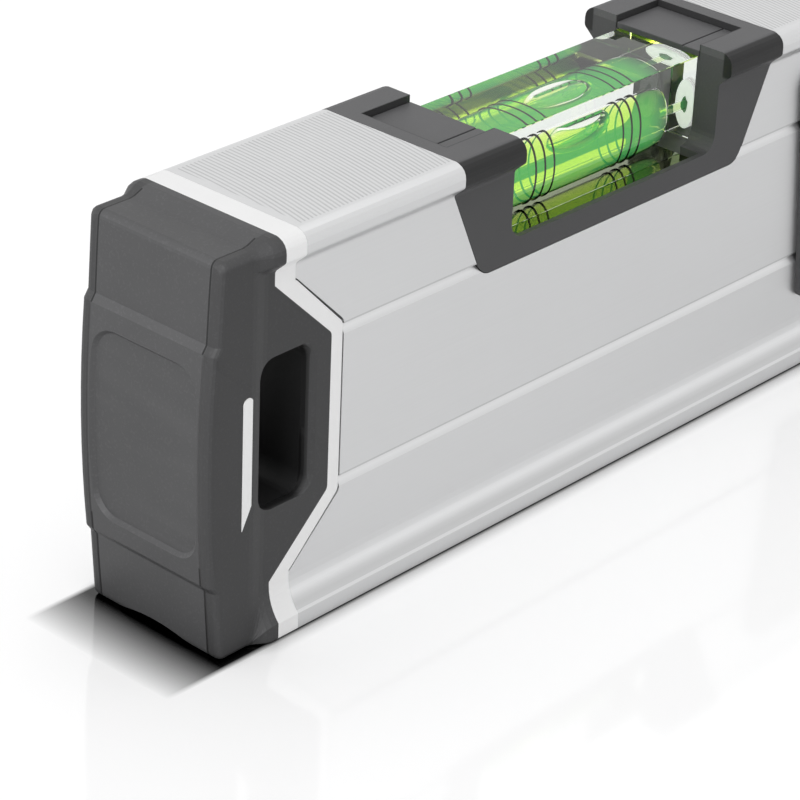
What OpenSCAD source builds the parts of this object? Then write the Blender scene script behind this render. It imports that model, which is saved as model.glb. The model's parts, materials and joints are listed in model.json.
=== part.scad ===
// Digital spirit level: an extruded aluminium body with a horizontal vial in its top
// face, a plumb vial, a digital angle display and a two-part cap at each end.
// X runs along the level and Z up, and the display faces -Y. The origin lies on the
// base plane, at the middle of the level. All sizes are in millimetres.

/* [Body] */
// Overall length over both end caps
level_length = 400; // [372:4:600]
// Height of the body from the base face to the top face
body_h = 60; // [60:0.5:64]
// Width over the flanges
flange_w = 28; // [28:0.5:30]
// Depth of each side face behind the flange edges
face_inset = 2; // [1.6:0.1:2.2]
// Thickness of the side walls
side_wall = 1.6; // [1.4:0.1:1.8]
// Thickness of the top wall
top_wall = 2.4; // [2:0.2:3]
// Height of the solid foot below the hollow
foot_wall = 7; // [6.6:0.2:8]
// Height of the straight edge of the top flange
edge_h = 2.75; // [2:0.25:3.5]
// Radius of the soft corners of the top flange
flange_r = 1.9; // [0.6:0.1:2]
// Height of the bevel between the top face and the flange edge
bevel_h = 0.55; // [0.3:0.05:0.9]
// Width of that bevel
bevel_w = 1.9; // [1.2:0.1:2.4]
// Height of the slope under the top flange
undercut_h = 1.8; // [1.4:0.2:2.4]
// Height of the straight edge of the foot
foot_edge_h = 2.7; // [2:0.1:3.4]
// Height at which the flare of the foot meets the side face
flare_top = 7.8; // [6.6:0.2:9]
// Half width of the groove along the base
base_groove_half = 8; // [6:0.5:9]
// Depth of the groove along the base
base_groove_depth = 2.6; // [1.8:0.2:3]
// Height of the upper edge of the lower line in the side faces
line_low_z = 19.7; // [18:0.1:21]
// Height of the upper edge of the upper line in the side faces
line_high_z = 42.9; // [42:0.1:44]
// Height of each line
line_h = 1.6; // [1:0.1:2]
// Depth of each line
line_depth = 0.65; // [0.3:0.05:0.9]

/* [End caps] */
// Length of each cap beyond the body
cap_len = 16; // [15:0.2:18]
// Width of the light band at the flanges
band_w = 3.8; // [3:0.1:4.4]
// Width of the light band where it runs upright along the tongue
band_tongue_w = 2.35; // [1.8:0.05:2.8]
// Reach of the tongue into the side faces
tongue_reach = 9.5; // [8.5:0.25:10.5]
// Height of the tongue's lower root
tongue_root_low = 8.4; // [8:0.1:9]
// Height of the tongue's lower shoulder
tongue_shoulder_low = 17.5; // [16:0.5:18.5]
// Drop of the tongue's upper shoulder below the top face
tongue_shoulder_drop = 16.5; // [15:0.5:17]
// Drop of the tongue's upper root below the top face
tongue_root_drop = 7.2; // [7:0.1:8]
// Thickness of the dark tongue on each side
tongue_t = 1; // [0.8:0.1:1.2]
// Length of the plug inside the body
plug_len = 18; // [14:1:22]
// Wall of the plug
plug_wall = 1.8; // [1.5:0.1:2.2]
// Drop of the cap's top below the top face of the body
cap_drop = 1; // [0.8:0.1:1.6]
// Height of the cap's bottom above the base plane
cap_lift = 0.1; // [0:0.05:0.4]
// Radius of the cap's soft outer edges
cap_edge_r = 1.1; // [0.8:0.1:1.8]
// Length over which the cap's side narrows from the flanges to its own width
cap_shoulder = 4.4; // [3.6:0.2:4.8]
// Height of the soft step between the cap's end face and the raised panel
panel_rise = 0.7; // [0.4:0.1:1]
// Bulge of the raised panel over its height
panel_bulge = 0.8; // [0.4:0.1:1]
// Slope of the end face above and below the raised panel
end_slope = 0.75; // [0.4:0.05:1]
// Height of the raised panel's lower edge
panel_low = 11.9; // [11:0.1:13]
// Drop of the raised panel's upper edge below the top face
panel_drop = 13.7; // [12:0.1:15]
// Width of the hanging slot
slot_w = 9.4; // [8:0.2:9.8]
// Height of the hanging slot
slot_h = 22.8; // [18:0.4:23.2]
// Distance of the hanging slot's middle beyond the end of the body
slot_out = 1.7; // [1.5:0.1:1.9]
// Corner radius of the hanging slot
slot_r = 2.8; // [2:0.1:3.4]
// Radius of the soft rim on the slot's inner side
slot_rim_r = 1.5; // [1:0.1:1.6]
// Wall of the sleeve around the hanging slot
sleeve_wall = 1.6; // [1.6:0.1:1.9]
// Height of the light rib's tip
rib_low = 18.8; // [17:0.2:20]
// Height of the light rib's round top
rib_high = 38.5; // [36:0.5:42]
// Width of the light rib
rib_w = 1.8; // [1.4:0.1:2]
// Distance of the light rib's middle beyond the end of the body
rib_out = 8.8; // [8.8:0.1:9.2]

/* [Horizontal vial] */
// Share of the free length beside the display that lies between it and the vial frame
vial_share = 0.4057; // [0.3:0.0001:0.6]
// Length of the vial frame at the top face
frame_top_len = 70.8; // [70:0.2:73]
// Distance by which each end of the vial frame slants inward to its lower edge
frame_taper = 6.5; // [5.5:0.1:7.5]
// Height of the vial frame
frame_h = 19.2; // [18.6:0.1:20]
// Radius of the vial frame's lower corners
frame_corner_r = 3; // [1.5:0.25:4]
// Length of each end block of the vial frame at the top face
end_block = 12.45; // [12.3:0.05:13.4]
// Depth of the window's sill below the top face
window_depth = 15.7; // [15.5:0.1:16]
// Corner radius of the window
window_r = 2.5; // [1.5:0.1:3]
// Width of the vial block
vial_w = 15; // [14:0.5:16]
// Drop of the vial block's top below the top face
vial_drop = 2; // [1.9:0.1:2.3]
// Depth of the vial block's seat below the window's sill
vial_sink = 1.2; // [1.1:0.1:1.4]
// Length of the vial block's ends inside the frame
vial_seat = 3.2; // [2.6:0.1:3.4]
// Thickness of the vial block above its barrel
vial_roof = 4.3; // [4:0.1:4.5]
// Radius of the barrel at its middle
barrel_r = 5; // [4.6:0.1:5.1]
// Radius that the barrel loses towards its ends
barrel_sag = 0.3; // [0.1:0.05:0.5]
// Length of the vial block beyond the barrel, both ends together
barrel_room = 14.2; // [12:0.2:15]
// Distance of the barrel's middle from the window's middle
barrel_shift = 0.4; // [-1:0.1:1]
// Length of the bubble
bubble_len = 14; // [13:0.2:15]
// Radius of the bubble's ends
bubble_r = 3; // [2.6:0.1:3.4]
// Distance of the innermost marking ring from the barrel's middle
ring_inner = 7.75; // [7.6:0.05:8]
// Distance from one marking ring to the next
ring_pitch = 2; // [1.5:0.1:2.2]
// Width of a marking ring
ring_w = 0.3; // [0.25:0.05:0.5]
// Thickness of a marking ring
ring_t = 0.12; // [0.08:0.02:0.2]
// Thickness of the disc that closes a barrel's filling channel
vial_plug_t = 0.7; // [0.5:0.1:1]
// Radius of that disc
vial_plug_r = 4; // [3:0.1:4.4]
// Radius of the filling channel
channel_r = 0.8; // [0.5:0.1:1.2]
// Thickness of the reflector under the vial
reflector_t = 0.4; // [0.3:0.1:0.6]
// Width of the reflector under the vial
reflector_w = 22; // [20:0.5:22.5]
// Length of each clip beside the vial
clip_len = 9.8; // [8:0.2:10]
// Width of each clip beyond the vial block, on each side
clip_edge = 0.3; // [0.2:0.05:0.8]
// Depth of each clip's plate below the top face
clip_drop = 1; // [0.4:0.1:1]
// Distance of the fine seam in each clip's plate from the middle of the vial
clip_seam = 4.6; // [3:0.2:6]
// Thickness of the clip's leg behind the vial block
clip_leg_t = 1.4; // [1:0.1:1.8]
// Height of the clip's leg
clip_leg_h = 7; // [5:0.5:9]

/* [Plumb vial] */
// Share of the free length beside the display that lies between it and the plumb frame
plumb_share = 0.579; // [0.3:0.001:0.8]
// Width of the plumb vial's frame
plumb_frame_w = 36; // [34:1:38]
// Height of the plumb vial's frame
plumb_frame_h = 37; // [36:0.5:38]
// Corner radius of the plumb vial's frame
plumb_frame_r = 4; // [3:0.5:5]
// Width of the plumb window
plumb_window_w = 25; // [24:0.5:27]
// Height of the plumb window
plumb_window_h = 29; // [28:0.5:30]
// Depth of the seats that hold the plumb vial block
plumb_seat = 1.7; // [1.2:0.1:2.2]
// Radius of the plumb barrel at its middle
plumb_barrel_r = 5.2; // [5:0.1:5.6]
// Length of the plumb barrel
plumb_barrel_len = 23; // [21:0.5:24]
// Height of the air space at the top of the plumb barrel
plumb_air_h = 4.6; // [3:0.2:6]
// Distance of the inner marking ring from the middle of the plumb barrel
plumb_ring_inner = 6; // [5.4:0.2:7]

/* [Display module] */
// Height of the module's face
module_h = 39.4; // [39:0.2:41]
// Distance by which each end of the face slants inward to its lower edge
module_taper = 4.2; // [3:0.1:5]
// Length of the module's face at its upper edge
module_top_len = 148; // [146:0.5:150]
// Thickness of the module's face outside the body
face_t = 1.6; // [1.2:0.1:2]
// Bevel around the module's face
face_bevel = 0.5; // [0.3:0.1:0.7]
// Distance of the side walls' openings from the ends of the module's upper edge
cutout_inset = 8.5; // [8:0.25:9]
// Height of the openings for the module in the side walls
cutout_h = 33.4; // [33:0.2:34]
// Corner radius of those openings
cutout_r = 2; // [1.5:0.25:3]
// Thickness of the module's rims and front plate inside the body
shell_t = 1.4; // [1.2:0.1:1.5]
// Length of the visible display window
screen_len = 56; // [52:1:58]
// Height of the visible display window
screen_h = 25; // [22:0.5:26]
// Width of the lens beyond the display window, on each side
lens_border = 3; // [2:0.25:3.2]
// Thickness of the lens
lens_t = 1.2; // [1:0.1:1.4]
// Width of the display glass beyond the window, on each side
lcd_border = 2; // [1:0.25:2.5]
// Thickness of the display glass
lcd_t = 2; // [1.6:0.1:2.2]
// Distance from the display glass to the circuit board
board_gap = 2.2; // [2:0.1:2.4]
// Thickness of the circuit board
board_t = 1.6; // [1:0.2:1.6]
// Distance of the circuit board's ends from the ends of the openings
board_inset = 3.5; // [2.5:0.25:4.5]
// Height of the circuit board
board_h = 29; // [28.5:0.1:29.4]
// Distance of the screws from the ends of the circuit board
screw_inset = 4; // [3:0.25:4.5]
// Distance of the screws above and below the module's middle
screw_dz = 11.8; // [11.4:0.1:12]
// Radius of the screw posts
post_r = 2.5; // [2.3:0.1:2.6]
// Radius of the screw shanks
screw_r = 1.1; // [1:0.05:1.2]
// Radius of the screw heads
screw_head_r = 2.1; // [1.9:0.1:2.2]
// Height of the screw heads
screw_head_h = 1.5; // [1.2:0.1:1.8]
// Width of the tilt sensor
sensor_w = 8; // [6:0.5:10]
// Thickness of the tilt sensor
sensor_t = 2; // [1.2:0.1:2.4]
// Radius of the buzzer
buzzer_r = 6; // [5:0.25:6.5]
// Height of the buzzer
buzzer_h = 4.4; // [3:0.2:4.4]

/* [Buttons] */
// Radius of each button
button_r = 4.4; // [4:0.1:4.8]
// Travel of each button
button_travel = 0.6; // [0.4:0.1:0.7]
// Height of each button above the module's face
button_rise = 0.3; // [0.1:0.1:0.4]
// Width of the collar that keeps a button in
collar_w = 0.9; // [0.7:0.1:1]
// Thickness of that collar
collar_t = 0.8; // [0.6:0.1:0.8]
// Distance of the buttons' middles from the screws, along the level
button_gap = 11; // [10:0.25:11.5]
// Spacing of the three buttons on the right
button_pitch = 12; // [11.8:0.1:12.2]
// Width of a key switch
switch_w = 6; // [5:0.5:6.5]
// Height of a key switch's body
switch_h = 0.9; // [0.7:0.1:0.9]

/* [Battery compartment] */
// Radius of a battery
battery_r = 5.25; // [5:0.05:5.25]
// Length of a battery with its nub
battery_len = 44.5; // [43:0.5:45]
// Distance between the two batteries
battery_gap = 0.7; // [0.5:0.1:1]
// Length of the compressed contact springs
spring_len = 4.5; // [3.5:0.5:5]
// Thickness of the contact plates
contact_t = 0.4; // [0.3:0.1:0.5]
// Wall of the battery tray
tray_wall = 1.3; // [1.1:0.1:1.5]
// Thickness of the battery door
door_t = 1.4; // [1.2:0.1:1.6]
// Width of the ledge that the battery door rests on
door_ledge = 2.6; // [2.2:0.1:3]
// Distance of the door's hooks from its middle
hook_x = 15; // [12:0.5:18]
// Width of each hook
hook_w = 6; // [5:0.5:8]

/* [Magnets] */
// Radius of each magnet
magnet_r = 4; // [3:0.25:5]
// Thickness of each magnet
magnet_t = 2.8; // [2:0.2:2.8]
// Distance of the outer magnets from the ends of the body
magnet_inset = 45; // [35:1:60]

/* [Fits] */
// Clearance between pieces that are fitted together
fit = 0.1; // [0.05:0.05:0.15]
// Clearance around pieces that move
play = 0.25; // [0.2:0.05:0.3]
// Visible joint between the caps and the body along the tongues
seam = 0.25; // [0.15:0.05:0.35]

/* [Hidden] */
$fn = 48;

aluminium = [0.80, 0.81, 0.82];
light_plastic = [0.90, 0.90, 0.90];
dark_plastic = [0.30, 0.30, 0.31];
black_plastic = [0.12, 0.12, 0.13];
clear_plastic = [0.85, 0.95, 0.88, 0.5];
vial_green = [0.70, 0.95, 0.25, 0.8];
steel = [0.70, 0.70, 0.72];
board_green = [0.10, 0.35, 0.20];

// Margin by which cuts run past the faces that they open
over = 1;
half_w = flange_w / 2;
face_y = half_w - face_inset;
cavity_y = face_y - side_wall;
profile_len = level_length - 2 * cap_len;
body_end = profile_len / 2;
waist_z = body_h - bevel_h - edge_h - undercut_h;
foot_chamfer = 0.4;
line_lip = 0.15;
cavity_low_r = 2.5;
cavity_high_r = 1.6;
arc_steps = 6;
flange_steps = 4;
flange_root_r = 1;
flange_under_r = 0.8;

cap_end = cap_len - panel_bulge - panel_rise;
band_shoulder = tongue_reach - band_tongue_w;
tongue_shoulder_high = body_h - tongue_shoulder_drop;
tongue_root_high = body_h - tongue_root_drop;
core_y = cavity_y - fit;
core_len = cap_end - 2;
core_margin = 4.5;
rib_slant = 3.6;
tongue_r = 1.5;
tongue_inner_r = 1.2;
rib_proud = 0.1;
// The slot stands a little above the middle of the tongue
slot_rise = 0.6;
slot_z = (tongue_shoulder_low + tongue_shoulder_high) / 2 + slot_rise;
slot_rim_steps = 3;
cap_inset = 1.5;
cap_low_r = 0.65;
cap_side_y = half_w - cap_inset;
cap_top = body_h - cap_drop;
cap_lip = 1.2;
cap_steps = 4;
panel_high = body_h - panel_drop;
panel_fold = 1.1;
panel_steps = 8;
panel_frame = 2.2;
panel_recess = 0.6;
panel_recess_r = 4.4;
panel_rim = 1.5;
notch_half = 8;
notch_rise = 1.3;

// Free length on each side, between the display and the cap's plug
side_room = body_end - plug_len - module_top_len / 2;
window_len = frame_top_len - 2 * end_block;
frame_low_len = frame_top_len - 2 * frame_taper;
vial_x = -module_top_len / 2 - (side_room - frame_top_len) * vial_share - frame_top_len / 2;
window_half = window_len / 2;
sill_z = body_h - window_depth;
frame_low_z = body_h - frame_h;
vial_half = window_half + vial_seat - fit;
vial_top = body_h - vial_drop;
seat_z = sill_z - vial_sink;
barrel_len = 2 * vial_half - barrel_room;
barrel_z = vial_top - vial_roof - barrel_r;
barrel_x = barrel_shift;
vial_fill_len = vial_half - barrel_x - barrel_len / 2 - vial_plug_t;
clip_w = vial_w + 2 * clip_edge;
clip_leg_inset = 1.2;
clip_leg_y = vial_w / 2 - clip_leg_inset;
clip_leg_x = window_half + vial_seat;
ring_count = 3;

plumb_x = module_top_len / 2 + (side_room - plumb_frame_w) * plumb_share + plumb_frame_w / 2;
plumb_half = plumb_window_h / 2 + plumb_seat - fit;
plumb_ring_count = 2;
plumb_fill_len = plumb_half - vial_plug_t - plumb_barrel_len / 2;

module_low_len = module_top_len - 2 * module_taper;
cutout_len = module_top_len - 2 * cutout_inset;
board_len = cutout_len - 2 * board_inset;
screw_x = board_len / 2 - screw_inset;
button_x = screw_x - button_gap;
// The module stands midway up the flat of the side face
module_z = (flare_top + waist_z) / 2;
rim_y = 1;
face_front = face_y + face_t;
plate_y = face_y - shell_t;
lcd_y = plate_y - lcd_t;
board_y = lcd_y - board_gap;
board_back = board_y - board_t;
rim_len = cutout_len - 2 * fit;
rim_h = cutout_h - 2 * fit;
lens_len = screen_len + 2 * lens_border;
lens_h = screen_h + 2 * lens_border;
key_positions = [
    [-button_x, button_pitch * 0.6], [-button_x, -button_pitch * 0.6],
    [button_x, button_pitch], [button_x, 0], [button_x, -button_pitch]
];
switch_nub_h = 0.4;
switch_nub_r = 1.6;

battery_dz = battery_r + battery_gap / 2;
contact_half = battery_r - 0.75;
spring_turns = 5;
// The spring narrows by this much from each turn to the next
spring_taper = 0.35;
spring_r = 3.4;
tray_half = (battery_len + spring_len + 2 * contact_t + 0.2) / 2;
tray_half_h = battery_dz + battery_r + 0.4;
battery_y = face_front - door_t - 0.5 - battery_r;
door_half = tray_half + door_ledge;
door_half_h = tray_half_h + door_ledge;
// Lower edge of the battery door, about which it turns
hinge_dz = play - door_half_h;

function unit(v) = v / norm(v);

// Points of the arc that rounds corner p between its neighbours a and b
function corner_arc(a, p, b, r, steps = arc_steps) = r <= 0 ? [p] :
    let (
        u = unit(a - p),
        v = unit(b - p),
        half = acos(u * v) / 2,
        centre = p + unit(u + v) * r / sin(half),
        start = p + u * r / tan(half) - centre,
        end = p + v * r / tan(half) - centre,
        from = atan2(start[1], start[0]),
        turn = atan2(end[1], end[0]) - from,
        sweep = turn > 180 ? turn - 360 : turn < -180 ? turn + 360 : turn
    )
    [for (i = [0:steps])
        let (angle = from + sweep * i / steps) centre + r * [cos(angle), sin(angle)]];

// A closed outline with each corner rounded by its own radius
function rounded(points, radii) =
    let (n = len(points))
    [for (i = [0:n - 1])
        each corner_arc(points[(i + n - 1) % n], points[i], points[(i + 1) % n], radii[i])];

// A half outline on the positive side, closed by its mirror image
function mirrored(points) = concat(
    points,
    [for (i = [len(points) - 1:-1:0]) if (points[i][0] > 0) [-points[i][0], points[i][1]]]
);

// Hollow flare between the side face and the foot
function foot_flare() =
    let (
        rise = flare_top - foot_edge_h,
        r = (face_inset * face_inset + rise * rise) / (2 * face_inset),
        span = acos((r - face_inset) / r)
    )
    [for (i = [0:arc_steps])
        let (angle = span * (1 - i / arc_steps))
        [face_y + r - r * cos(angle), flare_top - r * sin(angle)]];

function side_line(z) = [
    [face_y, z - line_h], [face_y - line_depth, z - line_lip], [face_y, z]
];

// Top flange from the side face to the top face, with soft corners
function top_flange() =
    let (
        root = [face_y, waist_z],
        under = [half_w, waist_z + undercut_h],
        edge = [half_w, body_h - bevel_h],
        top = [half_w - bevel_w, body_h]
    )
    concat(
        corner_arc([face_y, line_high_z], root, under, flange_root_r, flange_steps),
        corner_arc(root, under, edge, flange_under_r, flange_steps),
        corner_arc(under, edge, top, min(flange_r, bevel_w), flange_steps),
        corner_arc(edge, top, [0, body_h], flange_root_r, flange_steps)
    );

function foot_edge() = concat(
    [[half_w - foot_chamfer, 0], [half_w, foot_chamfer]],
    foot_flare()
);

// Half of the body's section, with or without the lines in its side face
function half_outline(lines) = concat(
    [[0, base_groove_depth], [base_groove_half, 0]],
    foot_edge(),
    lines ? concat(side_line(line_low_z), side_line(line_high_z)) : [],
    top_flange()
);

// Half of the hollow's section, made smaller all round
function half_cavity(smaller) =
    let (
        y = cavity_y - smaller,
        low = foot_wall + smaller,
        high = body_h - top_wall - smaller
    )
    [
        [y - cavity_low_r, low], [y, low + cavity_low_r],
        [y, high - cavity_high_r], [y - cavity_high_r, high]
    ];

// Side view of the vial frame, or of the notch that it fills
function frame_side(grow, top) =
    let (wide = frame_top_len / 2 + grow, narrow = frame_low_len / 2 + grow)
    rounded(
        [
            [-wide, top], [-wide, waist_z], [-narrow, frame_low_z - grow],
            [narrow, frame_low_z - grow], [wide, waist_z], [wide, top]
        ],
        [0, flange_root_r, frame_corner_r, frame_corner_r, flange_root_r, 0]
    );

// Outline of the display module's face, made smaller all round
function module_face(smaller) =
    let (
        low = module_low_len / 2 - smaller,
        high = module_top_len / 2 - smaller,
        z = module_h / 2 - smaller
    )
    rounded([[-low, -z], [low, -z], [high, z], [-high, z]], [1.5, 1.5, 3, 3]);

// Notch in the body's side face; x is measured outward from the body's end
function tongue_notch(smaller) = rounded(
    [
        [over, tongue_root_high - smaller], [0, tongue_root_high - smaller],
        [smaller - tongue_reach, tongue_shoulder_high - smaller],
        [smaller - tongue_reach, tongue_shoulder_low + smaller],
        [0, tongue_root_low + smaller], [over, tongue_root_low + smaller]
    ],
    [0, tongue_r, tongue_r, tongue_r, tongue_r, 0]
);

// Dark tongue of the cap, inside the light band
function dark_tongue() = rounded(
    [
        [band_w, tongue_root_high], [-band_shoulder, tongue_shoulder_high - band_tongue_w / 2],
        [-band_shoulder, tongue_shoulder_low + band_tongue_w / 2], [band_w, tongue_root_low]
    ],
    [0, tongue_inner_r, tongue_inner_r, 0]
);

// Heights at which the dark part of a cap is drawn between its foot and its top
function cap_levels() = concat(
    [panel_low - panel_fold],
    [for (i = [0:panel_steps]) panel_low + (panel_high - panel_low) * i / panel_steps],
    [panel_high + panel_fold, (panel_high + panel_fold + waist_z) / 2]
);

// Half of a cap's section beside the band, with the flanges of the body
function cap_flanged() = concat(
    foot_edge(), [for (z = cap_levels()) [face_y, z]], top_flange()
);

// Half of a cap's own section, point for point with the flanged one
function cap_plain() =
    let (
        low = cap_lift + cap_low_r,
        low_count = len(foot_edge()) - cap_steps - 1,
        high = cap_top - cap_edge_r,
        high_count = len(top_flange()) / 2
    )
    concat(
        [for (i = [0:cap_steps])
            let (angle = 90 * i / cap_steps)
            [cap_side_y - cap_low_r * (1 - sin(angle)), low - cap_low_r * cos(angle)]],
        [for (i = [1:low_count]) [cap_side_y, low + (flare_top - low) * i / low_count]],
        [for (z = cap_levels()) [cap_side_y, z]],
        [for (i = [0:high_count - 1]) [cap_side_y, waist_z + (high - waist_z) * i / high_count]],
        [for (i = [0:high_count - 1])
            let (angle = 90 * i / (high_count - 1))
            [cap_side_y - cap_edge_r * (1 - cos(angle)), high + cap_edge_r * sin(angle)]]
    );

// Reach of a cap's end at height z: a bulging panel between two sloping faces
function cap_reach(z) =
    let (half = (panel_high - panel_low) / 2, at = (z - panel_low - half) / half)
    z < panel_low ? cap_end - end_slope * (panel_low - z) / panel_low
    : z > panel_high ? cap_end - end_slope * (z - panel_high) / (cap_top - panel_high)
    : cap_len - panel_bulge * at * at;

// Share by which a height lies in the cap's foot or in its top
function foot_share(z) = max(0, (flare_top - z) / (flare_top - cap_lift));
function top_share(z) = max(0, (z - waist_z) / (cap_top - waist_z));

// Half section beside the band, flanged by the share given
function cap_shoulder_section(x, share) =
    let (flanged = cap_flanged(), plain = cap_plain())
    [for (i = [0:len(plain) - 1])
        let (p = share * flanged[i] + (1 - share) * plain[i]) [x, p[0], p[1]]];

// Half section at the cap's end, at the angle given around its soft edge
function cap_end_section(angle) =
    let (inward = cap_edge_r * (1 - cos(angle)))
    [for (p = cap_plain()) [
        cap_reach(p[1]) - cap_edge_r * (1 - sin(angle)),
        p[0] - inward,
        p[1] + inward * (foot_share(p[1]) - top_share(p[1]))
    ]];

function cap_sections() = concat(
    [cap_shoulder_section(band_w, 1)],
    [for (i = [0:cap_steps])
        let (at = i / cap_steps)
        cap_shoulder_section(
            band_w + cap_lip + (cap_shoulder - cap_lip) * at, 1 - at * at * (3 - 2 * at)
        )],
    [for (i = [0:cap_steps]) cap_end_section(90 * i / cap_steps)]
);

module along_x(x0, x1) {
    translate([x0, 0, 0]) rotate([90, 0, 90]) linear_extrude(x1 - x0) children();
}

module along_y(y0, y1) {
    translate([0, y1, 0]) rotate([90, 0, 0]) linear_extrude(y1 - y0) children();
}

module box(x, y, z) {
    translate([x[0], y[0], z[0]]) cube([x[1] - x[0], y[1] - y[0], z[1] - z[0]]);
}

// Cylinder that runs along Y
module peg(y0, y1, r) {
    translate([0, y0, 0]) rotate([-90, 0, 0]) cylinder(h = y1 - y0, r = r);
}

// Cylinder that runs along X
module bar(x0, x1, r) {
    translate([x0, 0, 0]) rotate([0, 90, 0]) cylinder(h = x1 - x0, r = r);
}

module rounded_rect(w, h, r) {
    square([w - 2 * r, h], center = true);
    square([w, h - 2 * r], center = true);
    for (x = [-1, 1], z = [-1, 1]) {
        translate([x * (w / 2 - r), z * (h / 2 - r)]) circle(r);
    }
}

// Moves a cap, drawn at the right end, to the side wanted: 0 right, 1 left
module at_end(left) {
    mirror([left, 0, 0]) translate([body_end, 0, 0]) children();
}

module plumb_opening(grow) {
    along_y(-half_w - over, half_w + over) {
        rounded_rect(plumb_frame_w + 2 * grow, plumb_frame_h + 2 * grow, plumb_frame_r + grow);
    }
}

module profile() {
    pocket_top = base_groove_depth + magnet_t + fit;
    color(aluminium) difference() {
        along_x(-body_end, body_end) difference() {
            polygon(mirrored(half_outline(true)));
            polygon(mirrored(half_cavity(0)));
        }
        translate([vial_x, 0, 0]) {
            along_y(-half_w - over, half_w + over) polygon(frame_side(fit, body_h + over));
        }
        translate([0, 0, module_z]) along_y(-half_w - over, half_w + over) {
            rounded_rect(cutout_len, cutout_h, cutout_r);
        }
        translate([plumb_x, 0, module_z]) plumb_opening(fit);
        for (left = [0, 1]) at_end(left) {
            along_y(-half_w - over, half_w + over) polygon(tongue_notch(0));
        }
        for (x = magnet_places()) {
            translate([x, 0, -over]) cylinder(h = over + pocket_top, r = magnet_r + fit);
        }
    }
}

function magnet_places() = [-body_end + magnet_inset, 0, body_end - magnet_inset];

module base_magnets() {
    color(steel) for (x = magnet_places()) {
        translate([x, 0, base_groove_depth]) cylinder(h = magnet_t, r = magnet_r);
    }
}

// The hanging slot, made larger all round
module slot_cut(grow) {
    translate([slot_out, 0, slot_z]) along_y(-half_w - over, half_w + over) {
        rounded_rect(slot_w + 2 * grow, slot_h + 2 * grow, slot_r + grow);
    }
}

// Light rib with a round top and a slanted tip, seen in the side of the cap
module rib_outline() {
    top = rib_high - rib_w / 2;
    translate([rib_out, top]) circle(rib_w / 2);
    polygon([
        [rib_out - rib_w / 2, top], [rib_out - rib_w / 2, rib_low + rib_slant],
        [rib_out + rib_w / 2, rib_low], [rib_out + rib_w / 2, top]
    ]);
}

// The light part of a cap before its hanging slot is cut
module cap_core_solid() {
    along_x(0, band_w) polygon(mirrored(half_outline(false)));
    difference() {
        along_x(-plug_len, over) polygon(mirrored(half_cavity(fit)));
        along_x(-plug_len - over, -slot_w) polygon(mirrored(half_cavity(fit + plug_wall)));
    }
    box([0, core_len], [-core_y, core_y], [core_margin, body_h - core_margin]);
    along_y(-cap_side_y - rib_proud, cap_side_y + rib_proud) rib_outline();
    difference() {
        along_y(-face_y, face_y) polygon(tongue_notch(seam));
        along_x(-tongue_reach, over + fit) {
            square([2 * (cavity_y + fit), 2 * body_h], center = true);
        }
    }
    for (side = [0, 1]) mirror([0, side, 0]) along_y(core_y - fit, face_y) {
        polygon(tongue_notch(seam));
    }
}

module cap_core(left) {
    color(light_plastic) at_end(left) difference() {
        cap_core_solid();
        slot_cut(sleeve_wall);
        for (side = [0, 1]) mirror([0, side, 0]) along_y(face_y - tongue_t, half_w + over) {
            polygon(dark_tongue());
        }
    }
}

// Outer form of the dark part of a cap, drawn through its sections from the band outward
module cap_outer() {
    sections = cap_sections();
    half = len(sections[0]);
    ring = 2 * half;
    last = (len(sections) - 1) * ring;
    points = [for (section = sections)
        each concat(section, [for (i = [half - 1:-1:0])
            [section[i][0], -section[i][1], section[i][2]]])];
    sides = [for (start = [0:ring:last - 1], i = [0:ring - 1])
        let (next = (i + 1) % ring)
        each [
            [start + i, start + ring + i, start + ring + next],
            [start + i, start + ring + next, start + next]
        ]];
    ends = [for (i = [0:half - 2])
        let (a = i, b = i + 1, c = ring - 2 - i, d = ring - 1 - i)
        each [
            [a, b, c], [a, c, d],
            [last + c, last + b, last + a], [last + d, last + c, last + a]
        ]];
    polyhedron(points, concat(sides, ends));
}

// Quarter round along the slot's inner rim, cut by the slot drawn towards the body
module slot_rim() {
    skin = 0.01;
    for (side = [0, 1], i = [0:slot_rim_steps - 1]) mirror([0, side, 0]) hull() {
        for (angle = [90 * i, 90 * (i + 1)] / slot_rim_steps) {
            depth = slot_rim_r * (1 - sin(angle));
            translate([slot_out - slot_rim_r * (1 - cos(angle)), 0, slot_z]) {
                along_y(face_y - depth, face_y - depth + skin) {
                    rounded_rect(slot_w, slot_h, slot_r, $fn = 32);
                }
            }
        }
    }
}

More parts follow.
